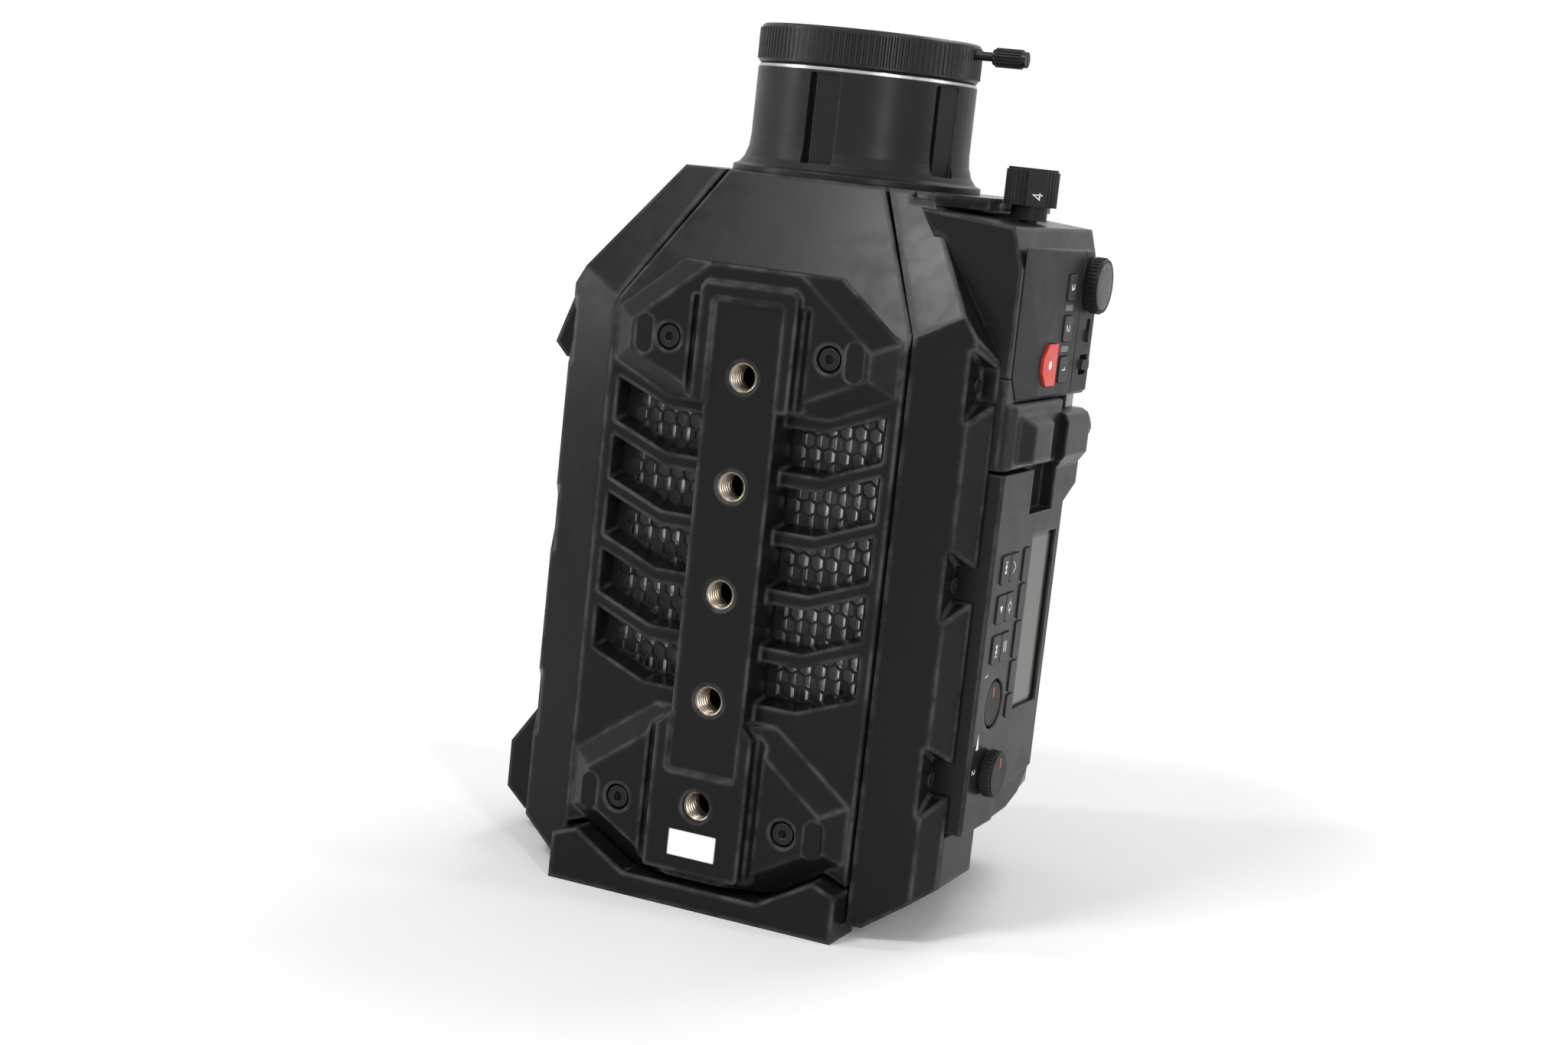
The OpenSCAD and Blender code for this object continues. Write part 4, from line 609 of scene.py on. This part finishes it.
def digit(n, size, x=0.0, y=0.0, weight=0.13):
    """Bands that draw a digit of a given height, centred on (x, y)."""
    return [ribbon((np.array(s) - DIGIT_MIDDLE) * size + (x, y), size * weight, INK_THICK)
            for s in DIGITS[n]]


def triangle(x, y, size):
    """A filled triangle that points along +x; a negative size points it along -x."""
    p = np.array([[-0.5, -0.6], [0.5, 0.0], [-0.5, 0.6]]) * size + (x, y)
    return plate(p if size > 0 else p[::-1], INK_THICK)


def circle(x, y, r, angles):
    """Points x + r cos a, y + r sin a."""
    return np.stack([x + r * np.cos(angles), y + r * np.sin(angles)], axis=1)


def disc(x, y, r, sides=24):
    """A filled round spot."""
    return plate(circle(x, y, r, np.linspace(0, 2 * np.pi, sides, endpoint=False)), INK_THICK)


def bar(x0, y0, x1, y1, w=0.3):
    """A straight stroke between two points."""
    return ribbon([(x0, y0), (x1, y1)], w, INK_THICK)


def ring(x, y, r, w=0.28, sides=24):
    """A round stroke whose middle line has the radius r."""
    return ribbon(circle(x, y, r, np.linspace(0, 2 * np.pi, sides + 1)), w, INK_THICK)


def on_side(node):
    """The middle of a node's outermost +X face, in millimetres."""
    lo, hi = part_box(node)
    return np.array([hi.x, (lo.y + hi.y) / 2, (lo.z + hi.z) / 2]) / MM


print("digits drawn as strokes:", sorted(DIGITS))

# %% [markdown]
# The marks lie on faces that look along +X. Seen from there, with the object held as in use,
# +Y is up and -Z, towards the battery, runs to the right, so these two directions span every
# mark. A mark rides on its own key, and is drawn in millimetres from the middle of that key.

# %% Marks on keys, dials and the door
OUT_ACROSS, OUT_UP = (0, 0, -1), (0, 1, 0)
pictures = {
    "transport_key_1": [triangle(1.2, 0, 1.7), triangle(-0.5, 0, 1.7), bar(2.4, -1.1, 2.4, 1.1)],
    "transport_key_2": [bar(-1.8, 1.1, 1.8, 1.1), bar(-1.8, 0, 1.8, 0), bar(-1.8, -1.1, 1.8, -1.1)],
    "transport_key_3": [triangle(0.1, 0, 2.2)],
    "transport_key_4": [ring(0, 0, 1.4), bar(-2.4, 0, -0.7, 0), bar(0.7, 0, 2.4, 0)],
    "transport_key_5": [triangle(-1.2, 0, -1.7), triangle(0.5, 0, -1.7),
                        bar(-2.4, -1.1, -2.4, 1.1)],
    "transport_key_6": [bar(-2.0, -1.3, 0, 1.2), bar(0, 1.2, 2.0, -1.3)],
    "function_key_1": digit(1, 3.0),
    "function_key_2": digit(2, 3.0),
    "function_key_3": digit(3, 3.0),
    "rec_button": [disc(0, 0, 1.5)],
}
for node, shapes in pictures.items():
    marks(node + "_mark", shapes, on_side(node), OUT_ACROSS, OUT_UP, node, WHITE)

POINTER_FROM, POINTER_TO, POINTER_WIDE = -5.6, -2.2, 0.8
for node in ("audio_dial_1", "audio_dial_2"):
    pointer = bar(POINTER_FROM, 0, POINTER_TO, 0, POINTER_WIDE)
    marks(node + "_pointer", [pointer], on_side(node), OUT_ACROSS, OUT_UP, node, AMBER)

DIAL_PRINT_AT = (81.3, -42.0, 88.0)
DIAL_DIGIT = 2.4
wedge = plate([(18.6, -0.6), (24.2, -1.5), (24.2, 0.7)], INK_THICK)
dial_print = digit(1, DIAL_DIGIT) + digit(2, DIAL_DIGIT, 31.5, -1.2) + [wedge]
marks("dial_marks", dial_print, DIAL_PRINT_AT, OUT_ACROSS, OUT_UP, "door", WHITE)
print("printed marks on", len(pictures), "keys, two dials and the door")

# %% [markdown]
# The rail's lower end carries a white sticker. It is left blank here. Its edges lift a little,
# so the surface is z = t + lift * (u^8 + v^8) / 2, a sheet that is flat but for its rim.

# %% Blank sticker
STICKER_WIDE, STICKER_HIGH, STICKER_Z = 17.0, 8.7, 21.6
RAIL_FACE_Y = -76.1


def sticker(width, height, thick=0.1, glue=0.02, lift=0.12, under=0.7, corner=0.012, n=48):
    """A thin closed sheet: a top grid and a bottom grid joined round the rim."""
    u = np.linspace(-1, 1, n)[:, None] * np.ones((1, n))
    v = np.linspace(-1, 1, n)[None, :] * np.ones((n, 1))
    pinch = 1 - corner * (np.abs(u) ** 12 * np.abs(v) ** 12)
    up = lift * (u ** 8 + v ** 8) / 2
    x, y = u * width / 2 * pinch, v * height / 2 * pinch
    top = np.stack([x, y, thick + up], axis=-1)
    low = np.stack([x, y, glue + up * under], axis=-1)
    return np.concatenate([top, low[:, ::-1]], axis=1)


sheet = sticker(STICKER_WIDE, STICKER_HIGH)
sheet = np.stack([sheet[..., 0], RAIL_FACE_Y - sheet[..., 2], STICKER_Z + sheet[..., 1]], axis=-1)
rows, cols = sheet.shape[:2]
k = np.arange(cols // 2 - 1)
ends = [np.stack([k + o, k + 1 + o, o + cols - 2 - k, o + cols - 1 - k], axis=1)
        for o in (0, (rows - 1) * cols)]
faces = np.vstack([grid_faces(rows, cols, False, True)] + ends)
label = new_object("blank_sticker", sheet.reshape(-1, 3), faces, "body", LABEL)
print("sticker faces", len(label.data.polygons))

# %% [markdown]
# The filter knob's flat carries a number, as such knobs do: a plain 4, which is also the
# number of filters in the wheel. The flat looks 35 degrees round from the rail's side towards
# the operator's side. The digit turns with the knob.

# %% Number on the filter knob
FLAT_TURN = math.radians(35)
KNOB_AT = np.array([65.1, -8.0, 240.6])
KNOB_ACROSS, FLAT_SHARE, INK_LIFT = 17.4, 0.9, 0.01
outwards = np.array([math.sin(FLAT_TURN), -math.cos(FLAT_TURN), 0])
sideways = np.array([math.cos(FLAT_TURN), math.sin(FLAT_TURN), 0])
flat_at = KNOB_AT + outwards * (KNOB_ACROSS / 2 * FLAT_SHARE + INK_LIFT)
number = marks("filter_number", digit(4, 3.2), flat_at, (0, 0, 1), -sideways, "filter_knob",
               WHITE)
print("number on the knob's flat: faces", len(number.data.polygons))

# %% [markdown]
# The level knob has a turned cap with a fine bright groove. A profile from the centre to the
# rim is revolved about the knob's axis: a shallow dome, a groove and a soft edge.

# %% Turned cap on the level knob
CAP_Y, CAP_Z = 17.0, 213.2
CAP_PROFILE = [(0, 0.16), (3.0, 0.15), (6.1, 0.12), (6.5, 0.1), (6.6, 0.02), (6.8, 0.02),
               (6.9, 0.1), (7.5, 0.08), (7.8, 0.02), (7.8, 0.0), (0, 0.0)]


def revolved(profile, around=96):
    """A profile of (radius, height) turned about an axis: (r cos a, r sin a, h)."""
    r, h = np.asarray(profile, float).T
    a = np.linspace(0, 2 * np.pi, around, endpoint=False)[:, None]
    return np.stack([r * np.cos(a), r * np.sin(a), h + 0 * a], axis=-1)


cap = revolved(CAP_PROFILE)
cap = np.stack([on_side("level_knob")[0] + cap[..., 2], CAP_Y + cap[..., 0],
                CAP_Z + cap[..., 1]], axis=-1)
CAP = turned("cap_turned_black", (0.02, 0.02, 0.021), 0.3, axis="X", centre=(0, CAP_Y, CAP_Z),
             pitch_mm=0.22, metallic=0.5, edge_paling=0.8, round_mm=0.12)
level_cap = grid_piece("level_cap", [cap], True, False, "level_knob", CAP)
print("level cap faces", len(level_cap.data.polygons))

# %% [markdown]
# The object stands on a pale round floor. Near the object it is a plain matt surface that
# keeps the shadow. Further out it blends into pure white, but only for the camera, for
# reflections and through glass, so the backdrop is white with no more light on the object.

# %% Floor and backdrop
scene = bpy.context.scene
FLOOR_R, FLOOR_Z, FLOOR_SIDES = 4000.0, -0.02, 96
FLOOR_SHARES = np.array([1.0, 0.6, 0.3, 0.1, 0.02])
WHITE_FROM, WHITE_TO = 0.22, 1.1


def floor_object():
    """Rings of quads at shares of the floor's radius, closed by a fan about the middle."""
    a = np.linspace(0, 2 * np.pi, FLOOR_SIDES, endpoint=False)[:, None]
    r = FLOOR_SHARES[None, :] * FLOOR_R
    rings = len(FLOOR_SHARES)
    points = np.stack([np.cos(a) * r, np.sin(a) * r, 0 * a * r + FLOOR_Z], axis=-1)
    verts = np.vstack([points.reshape(-1, 3), [[0, 0, FLOOR_Z]]]) * MM
    last = np.arange(FLOOR_SIDES) * rings + rings - 1
    hub = np.full(FLOOR_SIDES, FLOOR_SIDES * rings)
    fan = np.stack([last, np.roll(last, -1), hub], axis=1)
    quads = grid_faces(FLOOR_SIDES, rings, True, False)
    mesh = bpy.data.meshes.new("floor")
    mesh.from_pydata(verts.tolist(), [], quads.tolist() + fan.tolist())
    bm = bmesh.new()
    bm.from_mesh(mesh)
    bmesh.ops.recalc_face_normals(bm, faces=bm.faces)
    if sum(f.normal.z for f in bm.faces) < 0:
        bmesh.ops.reverse_faces(bm, faces=bm.faces)
    bm.to_mesh(mesh)
    bm.free()
    return bpy.data.objects.new("floor", mesh)


def floor_finish():
    """Matt and nearly white near the object, white light beyond it for rays that look."""
    g = Graph("floor_pale")
    speck = g.noise(60, 4.0)
    far = g.add("VectorMath", {0: g.coords}, operation="LENGTH").outputs["Value"]
    ray = g.add("LightPath").outputs
    looks = g.math("MAXIMUM", ray["Is Glossy Ray"], ray["Is Transmission Ray"])
    looks = g.math("MAXIMUM", ray["Is Camera Ray"], looks)
    white = g.math("MULTIPLY", g.spread(far, WHITE_FROM, WHITE_TO), looks)
    matt = g.add("BsdfPrincipled", {"Base Color": g.mix(speck, rgb(0.82), rgb(0.86)),
                                    "Roughness": 0.75, "Specular IOR Level": 0.2})
    glow = g.add("Emission", {"Color": (1, 1, 1, 1), "Strength": 1.0})
    blend = g.add("MixShader", {0: white, 1: matt.outputs[0], 2: glow.outputs[0]})
    g.add("OutputMaterial", {"Surface": blend.outputs[0]})
    return g.mat


floor = floor_object()
scene.collection.objects.link(floor)
floor.data.materials.append(floor_finish())
print("floor faces", len(floor.data.polygons))

# %% [markdown]
# Five flat lamps give plain, soft studio light. The key lamp stands high and to the left of
# the viewpoint. A tall, narrow strip on either side draws the long highlights on the black
# castings' edges, a third strip lights the operator's side, and one lamp from above and
# behind draws the top edges.

# %% Lamps
# name, place in metres, height of the point aimed at, width, height, power in watts
LAMPS = [
    ("key_lamp", (-0.45, -1.15, 1.6), 0.15, 0.42, 0.3, 15),
    ("left_strip", (-1.4, -0.8, 0.6), 0.15, 0.12, 1.1, 10),
    ("right_strip", (1.15, -1.2, 0.55), 0.15, 0.12, 1.1, 10),
    ("side_strip", (1.6, 0.35, 0.7), 0.15, 0.2, 1.1, 7),
    ("back_lamp", (0.2, 1.0, 1.5), 0.2, 0.8, 0.5, 12),
]
for name, place, aim_z, wide, high, power in LAMPS:
    data = bpy.data.lights.new(name, "AREA")
    data.shape, data.size, data.size_y, data.energy = "RECTANGLE", wide, high, power
    lamp = bpy.data.objects.new(name, data)
    lamp.location = place
    aim = Vector((0, 0, aim_z)) - Vector(place)
    lamp.rotation_euler = aim.to_track_quat("-Z", "Y").to_euler()
    scene.collection.objects.link(lamp)
print("lamps", len(LAMPS), "with", sum(row[-1] for row in LAMPS), "watts")

# %% [markdown]
# The world is white to the camera, in reflections and through glass, and half as strong where
# it acts as a light. The view transform is the plain one, so colours show as they are written.

# %% World
WORLD_LIGHT, WORLD_SEEN = 0.5, 1.0
world = bpy.data.worlds.new("studio")
scene.world = world
world.use_nodes = True
tree = world.node_tree
tree.nodes.clear()
ray = add_node(tree, "LightPath").outputs
looks = add_node(tree, "Math", {0: ray["Is Camera Ray"], 1: ray["Is Transmission Ray"]},
                 operation="MAXIMUM").outputs[0]
looks = add_node(tree, "Math", {0: looks, 1: ray["Is Glossy Ray"]},
                 operation="MAXIMUM").outputs[0]
level = add_node(tree, "Mix", {0: looks, 2: WORLD_LIGHT, 3: WORLD_SEEN}).outputs[0]
sky = add_node(tree, "Background", {"Color": (1, 1, 1, 1), "Strength": level})
add_node(tree, "OutputWorld", {"Surface": sky.outputs[0]})
scene.view_settings.view_transform = "Standard"
print("world strength", WORLD_LIGHT, "as a light and", WORLD_SEEN, "where it is seen")

# %% [markdown]
# The picture is taken from the photograph's viewpoint: right of the middle, a little above the
# object, and turned by a few degrees about the line of sight. The three directions follow from
# the azimuth, the elevation and that roll, and they are the columns of the matrix.

# %% Camera at the photograph's angle
AZIMUTH, ELEVATION, ROLL = math.radians(23.53), math.radians(8.68), math.radians(6.22)
CAMERA_AT = Vector((0.3312, -0.7903, 0.2505))
LENS_MM, FILM_MM = 57.55, 36.0
backward = Vector((math.sin(AZIMUTH) * math.cos(ELEVATION),
                   -math.cos(AZIMUTH) * math.cos(ELEVATION), math.sin(ELEVATION)))
level_right = Vector((math.cos(AZIMUTH), math.sin(AZIMUTH), 0))
level_up = backward.cross(level_right)
right = level_right * math.cos(ROLL) + level_up * math.sin(ROLL)
up = level_up * math.cos(ROLL) - level_right * math.sin(ROLL)
cam_data = bpy.data.cameras.new("camera")
cam_data.lens, cam_data.sensor_width = LENS_MM, FILM_MM
cam_data.clip_start, cam_data.clip_end = 0.02, 50
cam = bpy.data.objects.new("camera", cam_data)
columns = ((*right, 0), (*up, 0), (*backward, 0), (*CAMERA_AT, 1))
cam.matrix_world = Matrix(columns).transposed()
scene.collection.objects.link(cam)
scene.camera = cam
print("camera", round(CAMERA_AT.length, 3), "m from the origin, lens", LENS_MM, "mm")

# %% [markdown]
